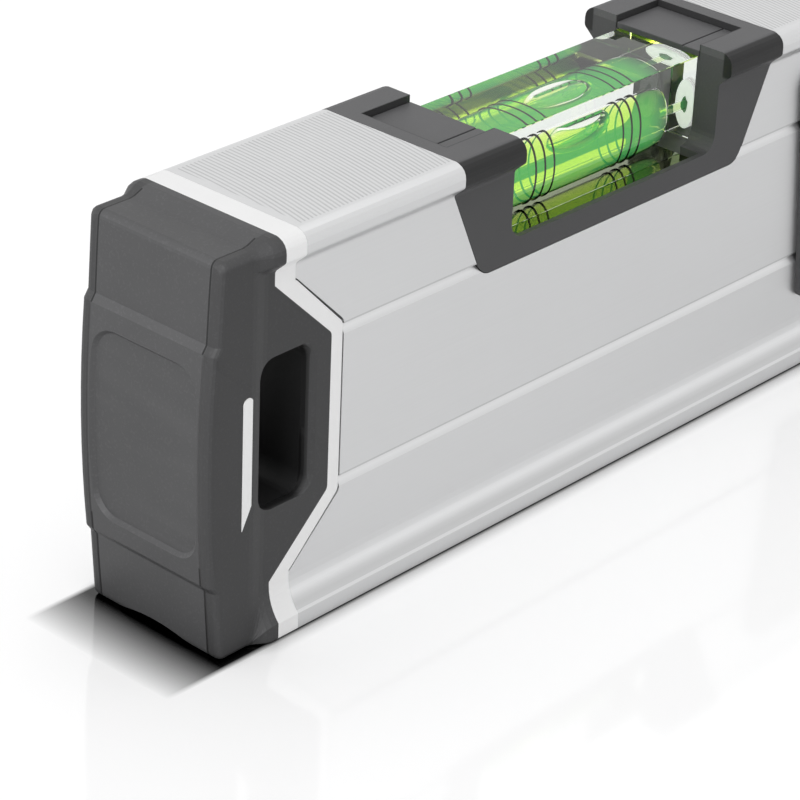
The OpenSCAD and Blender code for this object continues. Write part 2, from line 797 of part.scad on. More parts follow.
module cap_bumper(left) {
    panel_mid = (panel_low + panel_high) / 2;
    recess_w = 2 * (cap_side_y - panel_frame);
    recess_h = panel_high - panel_low - 2 * panel_frame;
    notch_r = (notch_half * notch_half + notch_rise * notch_rise) / (2 * notch_rise);
    half_h = (panel_high - panel_low) / 2;
    bulge_r = (half_h * half_h + panel_bulge * panel_bulge) / (2 * panel_bulge);
    color(dark_plastic) at_end(left) difference() {
        union() {
            difference() {
                cap_outer();
                cap_core_solid();
            }
            intersection() {
                slot_cut(sleeve_wall);
                along_y(tongue_t - face_y, face_y - tongue_t) {
                    translate([0, slot_z]) square([2 * cap_end, 2 * slot_h], center = true);
                }
            }
            for (side = [0, 1]) mirror([0, side, 0]) along_y(face_y - tongue_t, face_y) {
                polygon(dark_tongue());
            }
        }
        slot_cut(0);
        slot_rim();
        // Shallow arch along the foot
        along_x(band_w, cap_len + over) {
            translate([0, cap_lift + notch_rise - notch_r]) circle(notch_r, $fn = 180);
        }
        // Recess in the panel, with a sloping rim and a floor that bulges with the panel
        translate([0, 0, panel_mid]) difference() {
            hull() {
                along_x(cap_len, cap_len + over) {
                    rounded_rect(recess_w, recess_h, panel_recess_r, $fn = 32);
                }
                along_x(cap_end, cap_len) {
                    rounded_rect(
                        recess_w - 2 * panel_rim, recess_h - 2 * panel_rim,
                        panel_recess_r - panel_rim, $fn = 32
                    );
                }
            }
            translate([cap_len - panel_recess - bulge_r, 0, 0]) {
                rotate([90, 0, 0]) cylinder(h = flange_w, r = bulge_r, center = true, $fn = 400);
            }
        }
    }
}

// Room for a clip's leg behind the end of the vial block
module clip_leg_room(grow) {
    box([clip_leg_x, clip_leg_x + clip_leg_t + grow],
        [-clip_leg_y - grow, clip_leg_y + grow], [vial_top - clip_leg_h - grow, vial_top + over]);
}

module vial_frame() {
    vial_y = vial_w / 2 + fit;
    vial_end = window_half + vial_seat;
    skirt_t = 1.7;
    skirt_h = 5;
    color(dark_plastic) translate([vial_x, 0, 0]) difference() {
        union() {
            intersection() {
                along_x(-frame_top_len, frame_top_len) polygon(mirrored(half_outline(false)));
                along_y(-half_w - over, half_w + over) polygon(frame_side(0, body_h + over));
            }
            // Skirts that locate the frame between the side walls
            for (side = [0, 1]) mirror([0, side, 0]) {
                box([-window_half, window_half], [core_y - skirt_t, core_y],
                    [frame_low_z - skirt_h, frame_low_z + over]);
            }
        }
        along_y(-half_w - over, half_w + over) polygon(rounded(
            [
                [-window_half, body_h + over], [-window_half, sill_z],
                [window_half, sill_z], [window_half, body_h + over]
            ],
            [0, window_r, window_r, 0]
        ));
        box([-vial_end, vial_end], [-vial_y, vial_y], [seat_z, vial_top]);
        box([-window_half, window_half], [-vial_y, vial_y], [sill_z, body_h + over]);
        reflector_plate(fit, sill_z + over);
        for (side = [0, 1]) mirror([side, 0, 0]) {
            clip_leg_room(fit);
            box([window_half - over, window_half + clip_len + fit],
                [-clip_w / 2 - fit, clip_w / 2 + fit], [vial_top, body_h + over]);
        }
    }
}

module vial_clip(left) {
    seam_w = 0.25;
    seam_depth = 0.3;
    leg_y = clip_leg_y - fit;
    color(black_plastic) translate([vial_x, 0, 0]) mirror([left, 0, 0]) difference() {
        union() {
            box([window_half, window_half + clip_len], [-clip_w / 2, clip_w / 2],
                [vial_top, body_h - clip_drop]);
            box([clip_leg_x, clip_leg_x + clip_leg_t], [-leg_y, leg_y],
                [vial_top - clip_leg_h, body_h - clip_drop]);
        }
        box([window_half - over, window_half + clip_len + over],
            [-clip_seam - seam_w, -clip_seam],
            [body_h - clip_drop - seam_depth, body_h]);
    }
}

// The reflector lies on the vial's seat, clear of the window's round corners
module reflector_plate(grow, top) {
    reach = window_half - window_r + grow;
    wide = reflector_w / 2 + grow;
    box([-reach, reach], [-wide, wide], [seat_z - reflector_t, top]);
}

module vial_reflector() {
    color(vial_green) translate([vial_x, 0, 0]) reflector_plate(0, seat_z);
}

// Barrel-shaped cavity, drawn along Z about its own middle
module barrel(r, length, smaller) {
    rotate_extrude() polygon(concat(
        [[0, -length / 2]],
        [for (i = [-arc_steps:arc_steps])
            let (at = i / arc_steps) [r - smaller - barrel_sag * at * at, at * length / 2]],
        [[0, length / 2]]
    ));
}

// Rings around the barrel, drawn along Z about its own middle
module marking_rings(r, first, count) {
    for (side = [-1, 1], i = [0:count - 1]) {
        translate([0, 0, side * (first + i * ring_pitch) - ring_w / 2]) difference() {
            cylinder(h = ring_w, r = r + ring_t);
            translate([0, 0, -over]) cylinder(h = ring_w + 2 * over, r = r - ring_t);
        }
    }
}

module at_vial_barrel() {
    translate([vial_x + barrel_x, 0, barrel_z]) rotate([0, 90, 0]) children();
}

module at_plumb_barrel() {
    translate([plumb_x, 0, module_z]) children();
}

// Filling channel from the barrel's end to the disc that closes it, drawn along Z
module filling_channel(length) {
    translate([0, 0, -over]) cylinder(h = length + over, r = channel_r);
}

module vial_block() {
    color(clear_plastic) difference() {
        translate([vial_x, 0, 0]) {
            box([-vial_half, vial_half], [-vial_w / 2, vial_w / 2], [seat_z, vial_top]);
        }
        at_vial_barrel() {
            barrel(barrel_r, barrel_len, 0);
            marking_rings(barrel_r, ring_inner, ring_count);
            translate([0, 0, barrel_len / 2]) filling_channel(vial_fill_len);
            translate([0, 0, barrel_len / 2 + vial_fill_len]) {
                cylinder(h = vial_plug_t + over, r = vial_plug_r);
            }
        }
    }
}

// The rings lie in the block, around the barrel
module vial_rings() {
    color("black") difference() {
        at_vial_barrel() marking_rings(barrel_r, ring_inner, ring_count);
        at_vial_barrel() barrel(barrel_r, barrel_len, 0);
    }
}

module vial_fluid() {
    bubble_z = barrel_z + barrel_r - 0.75 * bubble_r;
    bubble_half = bubble_len / 2 - bubble_r;
    color(vial_green) difference() {
        at_vial_barrel() {
            barrel(barrel_r, barrel_len, 0);
            translate([0, 0, barrel_len / 2]) filling_channel(vial_fill_len);
        }
        translate([vial_x + barrel_x, 0, bubble_z]) {
            bar(-bubble_half, bubble_half, bubble_r);
            for (x = [-bubble_half, bubble_half]) translate([x, 0, 0]) sphere(bubble_r);
        }
    }
}

module vial_plug() {
    color(light_plastic) at_vial_barrel() translate([0, 0, barrel_len / 2 + vial_fill_len]) {
        cylinder(h = vial_plug_t, r = vial_plug_r);
    }
}

module plumb_frame() {
    seat_y = vial_w / 2 + fit;
    color(dark_plastic) translate([plumb_x, 0, module_z]) difference() {
        along_y(-face_y, face_y) difference() {
            rounded_rect(plumb_frame_w, plumb_frame_h, plumb_frame_r);
            rounded_rect(plumb_window_w, plumb_window_h, plumb_frame_r / 2);
        }
        box([-seat_y, seat_y], [-seat_y, seat_y], [-plumb_half - fit, plumb_half + fit]);
    }
}

module plumb_block() {
    color(clear_plastic) difference() {
        translate([plumb_x, 0, module_z]) {
            box([-vial_w / 2, vial_w / 2], [-vial_w / 2, vial_w / 2], [-plumb_half, plumb_half]);
        }
        at_plumb_barrel() {
            barrel(plumb_barrel_r, plumb_barrel_len, 0);
            marking_rings(plumb_barrel_r, plumb_ring_inner, plumb_ring_count);
            mirror([0, 0, 1]) {
                translate([0, 0, plumb_barrel_len / 2]) filling_channel(plumb_fill_len);
                translate([0, 0, plumb_half - vial_plug_t]) {
                    cylinder(h = vial_plug_t + over, r = vial_plug_r);
                }
            }
        }
    }
}

module plumb_rings() {
    color("black") difference() {
        at_plumb_barrel() marking_rings(plumb_barrel_r, plumb_ring_inner, plumb_ring_count);
        at_plumb_barrel() barrel(plumb_barrel_r, plumb_barrel_len, 0);
    }
}

// The liquid leaves its air space at the top, where the bubble rises
module plumb_fluid() {
    level = plumb_barrel_len / 2 - plumb_air_h;
    color(vial_green) difference() {
        at_plumb_barrel() {
            barrel(plumb_barrel_r, plumb_barrel_len, 0);
            mirror([0, 0, 1]) translate([0, 0, plumb_barrel_len / 2]) {
                filling_channel(plumb_fill_len);
            }
        }
        at_plumb_barrel() translate([0, 0, level]) cylinder(h = plumb_air_h + over, r = vial_w / 2);
    }
}

module plumb_plug() {
    color(light_plastic) at_plumb_barrel() mirror([0, 0, 1]) {
        translate([0, 0, plumb_half - vial_plug_t]) cylinder(h = vial_plug_t, r = vial_plug_r);
    }
}

module at_module() {
    translate([0, 0, module_z]) children();
}

// Face plate outside the body, with a bevelled edge, drawn on the +Y side
module face_plate() {
    hull() {
        along_y(face_y, face_front - face_bevel) polygon(module_face(0));
        along_y(face_y, face_front) polygon(module_face(face_bevel));
    }
}

// Inner plate and rim that reach through the body's opening, drawn on the +Y side
module module_shell(rim_end) {
    along_y(rim_end, face_y + fit) difference() {
        rounded_rect(rim_len, rim_h, cutout_r - fit);
        square([rim_len - 2 * shell_t, rim_h - 2 * shell_t], center = true);
    }
    along_y(plate_y, face_y + fit) square([rim_len - 2 * cutout_r, rim_h], center = true);
    along_y(plate_y, face_y + fit) square([rim_len, rim_h - 2 * cutout_r], center = true);
}

module at_screws() {
    for (x = [-screw_x, screw_x], z = [-screw_dz, screw_dz]) translate([x, 0, z]) children();
}

module display_bezel() {
    key_hole_r = button_r + play;
    color(dark_plastic) at_module() mirror([0, 1, 0]) difference() {
        union() {
            face_plate();
            module_shell(rim_y);
            at_screws() peg(board_y, face_y, post_r);
        }
        along_y(0, half_w + over) rounded_rect(screen_len, screen_h, 1);
        along_y(face_front - lens_t, half_w + over) {
            rounded_rect(lens_len + 2 * fit, lens_h + 2 * fit, 1.5 + fit);
        }
        for (at = key_positions) {
            translate([at[0], 0, at[1]]) peg(0, half_w + over, key_hole_r);
        }
        at_screws() peg(0, face_y, screw_r);
    }
}

module display_lens() {
    color([0.75, 0.80, 0.82, 0.6]) at_module() mirror([0, 1, 0]) {
        along_y(face_front - lens_t, face_front) rounded_rect(lens_len, lens_h, 1.5);
    }
}

module lcd_panel() {
    color([0.55, 0.60, 0.52]) at_module() mirror([0, 1, 0]) along_y(lcd_y, plate_y) {
        square([screen_len + 2 * lcd_border, screen_h + 2 * lcd_border], center = true);
    }
}

// Soft strip that joins the display glass to the circuit board
module lcd_connector() {
    strip_h = 2;
    z = screen_h / 2 + lcd_border - strip_h / 2;
    color(black_plastic) at_module() mirror([0, 1, 0]) along_y(board_y, lcd_y) {
        translate([0, z]) square([screen_len, strip_h], center = true);
    }
}

module circuit_board() {
    color(board_green) at_module() mirror([0, 1, 0]) difference() {
        along_y(board_back, board_y) square([board_len, board_h], center = true);
        at_screws() peg(board_back - over, board_y + over, screw_r + play);
    }
}

module tilt_sensor() {
    x = 12;
    color(black_plastic) at_module() mirror([0, 1, 0]) along_y(board_back - sensor_t, board_back) {
        translate([x, 0]) square([sensor_w, sensor_w], center = true);
    }
}

module controller_chip() {
    x = -12;
    w = 12;
    t = 1.6;
    color(black_plastic) at_module() mirror([0, 1, 0]) along_y(board_back - t, board_back) {
        translate([x, 0]) square([w, w], center = true);
    }
}

module buzzer() {
    hole_r = 0.8;
    color(black_plastic) at_module() mirror([0, 1, 0]) translate([-button_x + 2, 0, 0]) difference() {
        peg(board_back - buzzer_h, board_back, buzzer_r);
        peg(board_back - buzzer_h - over, board_back - buzzer_h + 1, hole_r);
    }
}

module key_switches() {
    color(steel) at_module() mirror([0, 1, 0]) for (at = key_positions) translate([at[0], 0, at[1]]) {
        along_y(board_y, board_y + switch_h) square([switch_w, switch_w], center = true);
        peg(board_y + switch_h, board_y + switch_h + switch_nub_h, switch_nub_r);
    }
}

// Round button with a dished top, a collar behind the plate and a stem to its switch
module key_button(index) {
    at = key_positions[index];
    stem_r = 1.8;
    dish_r = 14;
    dish = 0.35;
    top = face_front + button_rise;
    collar_y = plate_y - fit;
    // The collar is cut off straight where the module's rim stands beside it
    collar_half_h = rim_h / 2 - shell_t - play;
    stem_end = board_y + switch_h + switch_nub_h + button_travel + fit;
    color(black_plastic) at_module() mirror([0, 1, 0]) translate([at[0], 0, at[1]]) difference() {
        union() {
            peg(collar_y - collar_t, top, button_r);
            intersection() {
                peg(collar_y - collar_t, collar_y, button_r + collar_w);
                along_y(collar_y - collar_t, collar_y) translate([0, -at[1]]) {
                    square([2 * (button_r + collar_w), 2 * collar_half_h], center = true);
                }
            }
            peg(stem_end, collar_y, stem_r);
        }
        translate([0, top + dish_r - dish, 0]) sphere(dish_r);
    }
}

module rear_cover() {
    head_seat_y = plate_y - 0.6;
    color(dark_plastic) at_module() difference() {
        union() {
            face_plate();
            module_shell(fit - rim_y);
            at_screws() peg(fit - board_back, face_y, post_r);
            battery_tray();
        }
        // Opening over the batteries, and the ledge that the door lies on
        along_y(battery_y, half_w + over) square([2 * tray_half, 2 * tray_half_h], center = true);
        along_y(face_front - door_t - fit, half_w + over) {
            square([2 * door_half, 2 * door_half_h], center = true);
        }
        // Slots for the door's hooks
        for (x = [-hook_x, hook_x]) {
            box([x - hook_w / 2 - play, x + hook_w / 2 + play], [hook_floor - 0.5, half_w + over],
                [-door_half_h, over - tray_half_h]);
            box([x - hook_w / 2 - play, x + hook_w / 2 + play], [hook_floor - 0.5, plate_y],
                [-door_half_h - hook_reach - play, -door_half_h + over]);
        }
        // Thumb notch beside the door
        translate([0, face_front, door_half_h]) bar(-thumb_half, thumb_half, face_bevel + 0.4);
        at_screws() {
            peg(-board_back - over, half_w + over, screw_r);
            peg(head_seat_y, half_w + over, screw_head_r + play);
        }
    }
}

hook_t = 1;
hook_reach = 1.4;
hook_floor = plate_y - 0.4 - hook_t;
thumb_half = 6;

// Tray with cradles for two batteries, open towards the back
module battery_tray() {
    floor_y = battery_y - battery_r - tray_wall;
    difference() {
        along_y(floor_y, plate_y + fit) {
            square([2 * (tray_half + tray_wall), 2 * (tray_half_h + tray_wall)], center = true);
        }
        along_y(battery_y - battery_r / 2, face_y) {
            square([2 * tray_half, 2 * tray_half_h], center = true);
        }
        for (side = [-1, 1]) translate([0, battery_y, side * battery_dz]) {
            bar(-tray_half, tray_half, battery_r + fit);
        }
    }
}

module battery_door() {
    latch_half = 4;
    latch_t = 1;
    hook_stem_t = 1.2;
    latch_low = tray_half_h - play - latch_t;
    // The latch ends short of the upper battery
    latch_y = battery_y + sqrt(pow(battery_r + fit, 2) - pow(latch_low - battery_dz, 2));
    inner = face_front - door_t;
    color(dark_plastic) at_module() difference() {
        union() {
            along_y(inner, face_front) {
                square([2 * (door_half - play), -2 * hinge_dz], center = true);
            }
            for (x = [-hook_x, hook_x]) {
                box([x - hook_w / 2, x + hook_w / 2], [hook_floor, inner + fit],
                    [hinge_dz, hinge_dz + hook_stem_t]);
                box([x - hook_w / 2, x + hook_w / 2], [hook_floor, hook_floor + hook_t],
                    [-door_half_h - hook_reach, hinge_dz + hook_stem_t]);
            }
            // Latch tongue that grips the opening's upper edge
            box([-latch_half, latch_half], [latch_y, inner + fit], [latch_low, latch_low + latch_t]);
        }
        translate([0, face_front, door_half_h]) bar(-thumb_half, thumb_half, face_bevel + 0.9);
    }
}

// One battery with its nub towards +X, drawn about the middle of its length
module battery() {
    nub_r = 1.9;
    nub_h = 0.8;
    bar(-battery_len / 2, battery_len / 2 - nub_h, battery_r);
    bar(battery_len / 2 - nub_h - over, battery_len / 2, nub_r);
}

// The batteries lie head to tail, each against its own spring
battery_shift = tray_half - contact_t - battery_len / 2 - 0.1;

module battery_upper() {
    color([0.75, 0.55, 0.25]) at_module() translate([battery_shift, battery_y, battery_dz]) battery();
}

module battery_lower() {
    color([0.75, 0.55, 0.25]) at_module() mirror([1, 0, 0]) {
        translate([battery_shift, battery_y, -battery_dz]) battery();
    }
}

// Tapered contact spring, wound towards +X from its plate
module contact_spring() {
    pitch = spring_len / spring_turns;
    for (i = [0:spring_turns - 1]) {
        translate([(i + 0.5) * pitch, 0, 0]) rotate([0, 90, 0]) rotate_extrude() {
            translate([spring_r - spring_taper * i, 0]) circle(pitch / 2, $fn = 16);
        }
    }
}

// Contact plate at the end of a cradle, round where the cradle is
module contact_plate() {
    bar(-tray_half, contact_t - tray_half, contact_half);
    box([-tray_half, contact_t - tray_half], [fit - battery_r / 2, contact_half],
        [-contact_half, contact_half]);
}

module battery_contacts() {
    color(steel) at_module() translate([0, battery_y, 0]) for (side = [0, 1]) rotate([0, side * 180, 0]) {
        for (end = [0, 1]) mirror([end, 0, 0]) translate([0, 0, battery_dz]) contact_plate();
        translate([contact_t - tray_half, 0, battery_dz]) contact_spring();
    }
}

module module_screws() {
    head_seat_y = plate_y - 0.6;
    shank_end = -plate_y + 0.4;
    recess_w = 0.7;
    recess_len = 2.4;
    color(steel) at_module() at_screws() difference() {
        union() {
            peg(head_seat_y, head_seat_y + screw_head_h, screw_head_r);
            peg(shank_end, head_seat_y, screw_r - fit / 2);
        }
        for (turn = [0, 90]) rotate([0, turn, 0]) {
            box([-recess_len / 2, recess_len / 2],
                [head_seat_y + screw_head_h - 0.8, head_seat_y + screw_head_h + over],
                [-recess_w / 2, recess_w / 2]);
        }
    }
}

profile();
cap_core(1);  // cap_core_left
cap_core(0);  // cap_core_right
cap_bumper(1);  // cap_bumper_left
cap_bumper(0);  // cap_bumper_right
vial_frame();
vial_clip(1);  // vial_clip_left
vial_clip(0);  // vial_clip_right
vial_reflector();
vial_block();
vial_fluid();
vial_rings();
vial_plug();
plumb_frame();
plumb_block();
plumb_fluid();
plumb_rings();
plumb_plug();
display_bezel();
display_lens();
lcd_panel();
lcd_connector();
circuit_board();
tilt_sensor();
controller_chip();
buzzer();
key_switches();
key_button(0);  // button_power
key_button(1);  // button_hold
key_button(2);  // button_zero
key_button(3);  // button_unit
key_button(4);  // button_sound
rear_cover();
battery_door();
battery_upper();
battery_lower();
battery_contacts();
module_screws();
base_magnets();
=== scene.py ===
import json
import math

import bmesh
import bpy
from mathutils import Matrix, Vector


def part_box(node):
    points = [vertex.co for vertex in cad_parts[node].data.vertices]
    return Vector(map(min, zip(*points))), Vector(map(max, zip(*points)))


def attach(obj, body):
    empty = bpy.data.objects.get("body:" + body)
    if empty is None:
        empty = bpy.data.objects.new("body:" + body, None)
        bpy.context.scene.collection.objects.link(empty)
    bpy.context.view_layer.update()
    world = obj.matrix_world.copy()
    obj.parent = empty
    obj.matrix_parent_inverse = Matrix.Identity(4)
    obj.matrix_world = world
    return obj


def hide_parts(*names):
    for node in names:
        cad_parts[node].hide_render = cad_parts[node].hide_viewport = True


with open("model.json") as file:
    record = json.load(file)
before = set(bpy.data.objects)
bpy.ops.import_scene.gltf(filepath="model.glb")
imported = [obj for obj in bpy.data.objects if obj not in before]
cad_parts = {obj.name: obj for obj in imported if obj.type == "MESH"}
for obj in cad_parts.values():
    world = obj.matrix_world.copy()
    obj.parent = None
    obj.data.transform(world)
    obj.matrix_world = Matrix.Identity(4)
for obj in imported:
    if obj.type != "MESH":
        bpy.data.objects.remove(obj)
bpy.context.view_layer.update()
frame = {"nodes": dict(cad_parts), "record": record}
nodes = frame["nodes"]
mm = 0.001
print("frame loaded:", len(nodes), "nodes")

# Camera of the photograph: place and reach in metres, angles in degrees, lens in millimetres
photoCamera = {
    "place": (-0.4536, -0.2708, 0.2340),
    "azimuth": -48.336,
    "elevation": 27.992,
    "roll": 2.382,
    "lens": 144.53,
    "sensor": 36.0,
    "nearest": 0.01,
    "farthest": 50.0,
}


def makeCamera(look):
    azimuth, elevation, roll = (math.radians(look[key]) for key in ("azimuth", "elevation", "roll"))
    ahead = Vector((-math.sin(azimuth) * math.cos(elevation),
                    math.cos(azimuth) * math.cos(elevation), -math.sin(elevation)))
    level = Vector((math.cos(azimuth), math.sin(azimuth), 0))
    upright = level.cross(ahead)
    right = level * math.cos(roll) + upright * math.sin(roll)
    above = upright * math.cos(roll) - level * math.sin(roll)
    camera = bpy.data.objects.new("photoCamera", bpy.data.cameras.new("photoCamera"))
    camera.data.lens = look["lens"]
    camera.data.sensor_width = look["sensor"]
    camera.data.clip_start = look["nearest"]
    camera.data.clip_end = look["farthest"]
    turn = Matrix((right, above, -ahead)).transposed().to_4x4()
    camera.matrix_world = Matrix.Translation(look["place"]) @ turn
    bpy.context.scene.collection.objects.link(camera)
    bpy.context.scene.camera = camera


makeCamera(photoCamera)
bpy.context.scene.view_settings.view_transform = "Standard"
print("camera placed")


# A socket that takes part in sums, so that shader maths reads as arithmetic
class Channel:
    def __init__(self, finish, socket):
        self.finish = finish
        self.socket = socket

    def join(self, operation, first, second=0.0):
        return self.finish.add("ShaderNodeMath", {"operation": operation}, {0: first, 1: second})

    def __add__(self, other):
        return self.join("ADD", self, other)

    def __radd__(self, other):
        return self.join("ADD", other, self)

    def __sub__(self, other):
        return self.join("SUBTRACT", self, other)

    def __rsub__(self, other):
        return self.join("SUBTRACT", other, self)

    def __mul__(self, other):
        return self.join("MULTIPLY", self, other)

    def __rmul__(self, other):
        return self.join("MULTIPLY", other, self)

    def __truediv__(self, other):
        return self.join("DIVIDE", self, other)

    def __gt__(self, other):
        return self.join("GREATER_THAN", self, other)

    def __lt__(self, other):
        return self.join("LESS_THAN", self, other)

    def __abs__(self):
        return self.join("ABSOLUTE", self)

    def fraction(self):
        return self.join("FRACT", self)

    def highest(self, other):
        return self.join("MAXIMUM", self, other)

    def held(self):  # between 0 and 1
        return self.finish.add("ShaderNodeClamp", inputs={"Value": self})


# One material, or the world, while its nodes are made
class Finish:
    def __init__(self, name, tree=None):
        self.material = None
        if tree is None:
            self.material = bpy.data.materials.new(name)
            self.material.use_nodes = True
            tree = self.material.node_tree
        self.tree = tree
        tree.nodes.clear()
        kind = "ShaderNodeOutputMaterial" if self.material else "ShaderNodeOutputWorld"
        self.end = tree.nodes.new(kind)

    def add(self, kind, settings=None, inputs=None, output=0):
        made = self.tree.nodes.new(kind)
        for name, value in (settings or {}).items():
            setattr(made, name, value)
        for name, value in (inputs or {}).items():
            self.put(made.inputs[name], value)
        return Channel(self, made.outputs[output])

    def put(self, socket, value):
        if isinstance(value, Channel):
            self.tree.links.new(value.socket, socket)
        elif isinstance(value, tuple) and len(value) == 3 and len(socket.default_value) == 4:
            socket.default_value = (*value, 1)
        else:
            socket.default_value = value

    # Object coordinates in millimetres
    def place(self):
        spot = self.add("ShaderNodeTexCoord", output="Object")
        return self.add("ShaderNodeVectorMath", {"operation": "SCALE"}, {0: spot, "Scale": 1 / mm})

    def split(self, vector):
        parts = self.add("ShaderNodeSeparateXYZ", inputs={0: vector}).socket.node.outputs
        return [Channel(self, part) for part in parts]

    def facing(self):
        return self.split(self.add("ShaderNodeTexCoord", output="Normal"))

    # Painted edge light: slopes and corners are painted lighter, most half-way round, and what looks down
    # gets painted shade
    def paintedEdgeLight(self, slope, corner, under):
        nx, ny, nz = self.facing()
        up = nz.held()
        return 1 + (up - up * up) * 4 * slope + abs(nx * ny) * 2 * corner - (0 - nz).held() * under

    def stretched(self, place, factors):
        return self.add("ShaderNodeVectorMath", {"operation": "MULTIPLY"}, {0: place, 1: factors})

    def noise(self, place, scale, detail, roughness=0.5):
        return self.add("ShaderNodeTexNoise", inputs={
            "Vector": place, "Scale": scale, "Detail": detail, "Roughness": roughness})

    def mixed(self, share, first, second):
        return self.add("ShaderNodeMix", {"data_type": "RGBA"}, {0: share, 6: first, 7: second}, output=2)

    def tinted(self, colour, factor):
        grey = self.add("ShaderNodeCombineXYZ", inputs={0: factor, 1: factor, 2: factor})
        return self.add("ShaderNodeVectorMath", {"operation": "MULTIPLY"}, {0: colour, 1: grey})

    def bump(self, height, depth):
        return self.add("ShaderNodeBump", inputs={"Height": height, "Distance": depth * mm}, output="Normal")

    def close(self, shader, kind="Surface"):
        self.put(self.end.inputs[kind], shader)

    def surface(self, **sockets):
        self.close(self.add("ShaderNodeBsdfPrincipled", inputs={
            name.replace("_", " "): value for name, value in sockets.items()}))

    def clear(self, tone, index, rough=0.0):
        self.surface(Base_Color=tone, Roughness=rough, IOR=index, Transmission_Weight=1.0)


# In each look below, a Noise is its scale per millimetre, its detail and at times its roughness.
# What a pattern adds to tone, roughness and relief is named after it, and plain is the tone's share
# before they add theirs. Lengths are in millimetres, and a Fade is how fast a border runs out.
aluminiumLook = {
    "tone": (0.655, 0.658, 0.662),
    "plain": 0.955,
    "rough": 0.36,
    "reliefDepth": 0.03,
    "edgeLight": (0.03, 0.03, 0.22),  # painted light on slopes and on corners, painted shade on what looks down
    "drawnStretch": (0.015, 2.2, 2.2),  # extrusion lines
    "drawnNoise": (2.0, 3.0),
    "drawnTone": 0.04,
    "drawnRelief": 0.16,
    "etchedNoise": (9.0, 2.0),
    "etchedTone": 0.03,
    "etchedRough": 0.06,
    "etchedRelief": 0.10,
    "cloudNoise": (0.03, 2.0),
    "cloudTone": 0.03,
    "topFace": 59.9,
    "ridgePitch": 0.73,  # milled arcs across the top face
    "ridgeFlat": 0.24,  # half of what is left flat, as a share of the pitch
    "ridgeRadius": 105.0,
    "ridgeMiddle": 14.0,
    "ridgeHalf": 11.5,
    "ridgeEnd": 182.7,
    "ridgeDepth": 0.035,
    "ridgeShade": 0.32,
    "ridgeRough": 0.08,
    "unevenStretch": (0.4, 0.12, 1.0),  # no two cuts are equally deep
    "unevenNoise": (1.0, 2.0),
    "unevenLeast": 0.65,
    "unevenMore": 0.7,
    "sideLines": (19.7, 42.9),  # middles of the two painted shade lines along each side
    "lineHalf": 0.24,
    "lineDark": 0.20,
    "glintBelow": 0.85,  # a painted glint lies under each line of painted shade
    "glintFade": 1.6,
    "glintBright": 0.10,
    "crestAt": 5.4,  # painted glint and painted shade along the hollow flare of the foot
    "crestFade": 0.9,
    "crestBright": 0.12,
    "hollowTop": 5.0,
    "hollowFade": 0.8,
    "hollowEnd": 3.05,
    "hollowDark": 0.17,
}


def anodisedAluminium(look=aluminiumLook):
    finish = Finish("anodisedAluminium")
    place = finish.place()
    x, y, z = finish.split(place)
    drawn = finish.noise(finish.stretched(place, look["drawnStretch"]), *look["drawnNoise"])
    etched = finish.noise(place, *look["etchedNoise"])
    cloud = finish.noise(place, *look["cloudNoise"])
    side = look["ridgeMiddle"] - y
    wave = ((x + side * side / (2 * look["ridgeRadius"])) / look["ridgePitch"]).fraction()
    groove = (abs(wave - 0.5) - look["ridgeFlat"]).highest(0.0) / (0.5 - look["ridgeFlat"])
    spread = finish.noise(finish.stretched(place, look["unevenStretch"]), *look["unevenNoise"])
    uneven = look["unevenLeast"] + spread * look["unevenMore"]
    ridges = (z > look["topFace"]) * (abs(y) < look["ridgeHalf"]) * (abs(x) < look["ridgeEnd"])
    cut = groove * ridges * uneven
    even = (look["plain"] + drawn * look["drawnTone"] + etched * look["etchedTone"]
            + cloud * look["cloudTone"])
    dark = bright = 0.0
    # painted shade lines and painted glints along each side
    for line in look["sideLines"]:
        dark = dark + (abs(z - line) < look["lineHalf"])
        bright = bright + (1 - abs(z - (line - look["glintBelow"])) * look["glintFade"]).held()
    # painted glint on the flare's crest and painted shade in its hollow
    crest = (1 - abs(z - look["crestAt"]) * look["crestFade"]).held() * look["crestBright"]
    hollow = ((look["hollowTop"] - z) * look["hollowFade"]).held() * (z > look["hollowEnd"])
    lines = (1 - dark * look["lineDark"] + bright * look["glintBright"] + crest
             - hollow * look["hollowDark"])
    factor = even * (1 - cut * look["ridgeShade"]) * finish.paintedEdgeLight(*look["edgeLight"]) * lines
    height = (drawn * look["drawnRelief"] + etched * look["etchedRelief"]
              - cut * (look["ridgeDepth"] / look["reliefDepth"]))
    finish.surface(
        Base_Color=finish.tinted(look["tone"], factor),
        Metallic=1.0,
        Roughness=look["rough"] + etched * look["etchedRough"] + cut * look["ridgeRough"],
        Normal=finish.bump(height, look["reliefDepth"]))
    return finish.material


lightPlasticLook = {
    "tone": (0.985, 0.985, 0.985),
    "plain": 0.96,
    "rough": 0.42,
    "specular": 0.4,
    "reliefDepth": 0.012,
    "topShade": 0.11,  # on faces that look up
    "grainNoise": (7.0, 3.0),
    "grainTone": 0.03,
    "grainRough": 0.12,
    "flowStretch": (0.2, 0.2, 0.05),  # faint flow marks from the mould
    "flowNoise": (1.0, 2.0),
    "flowTone": 0.05,
}


def lightCapPlastic(look=lightPlasticLook):
    finish = Finish("lightCapPlastic")
    place = finish.place()
    grain = finish.noise(place, *look["grainNoise"])
    flow = finish.noise(finish.stretched(place, look["flowStretch"]), *look["flowNoise"])
    up = finish.facing()[2].held()
    even = look["plain"] + grain * look["grainTone"] + flow * look["flowTone"]
    finish.surface(
        Base_Color=finish.tinted(look["tone"], even * (1 - up * look["topShade"])),
        Roughness=look["rough"] + grain * look["grainRough"],
        Specular_IOR_Level=look["specular"],
        Normal=finish.bump(grain, look["reliefDepth"]))
    return finish.material


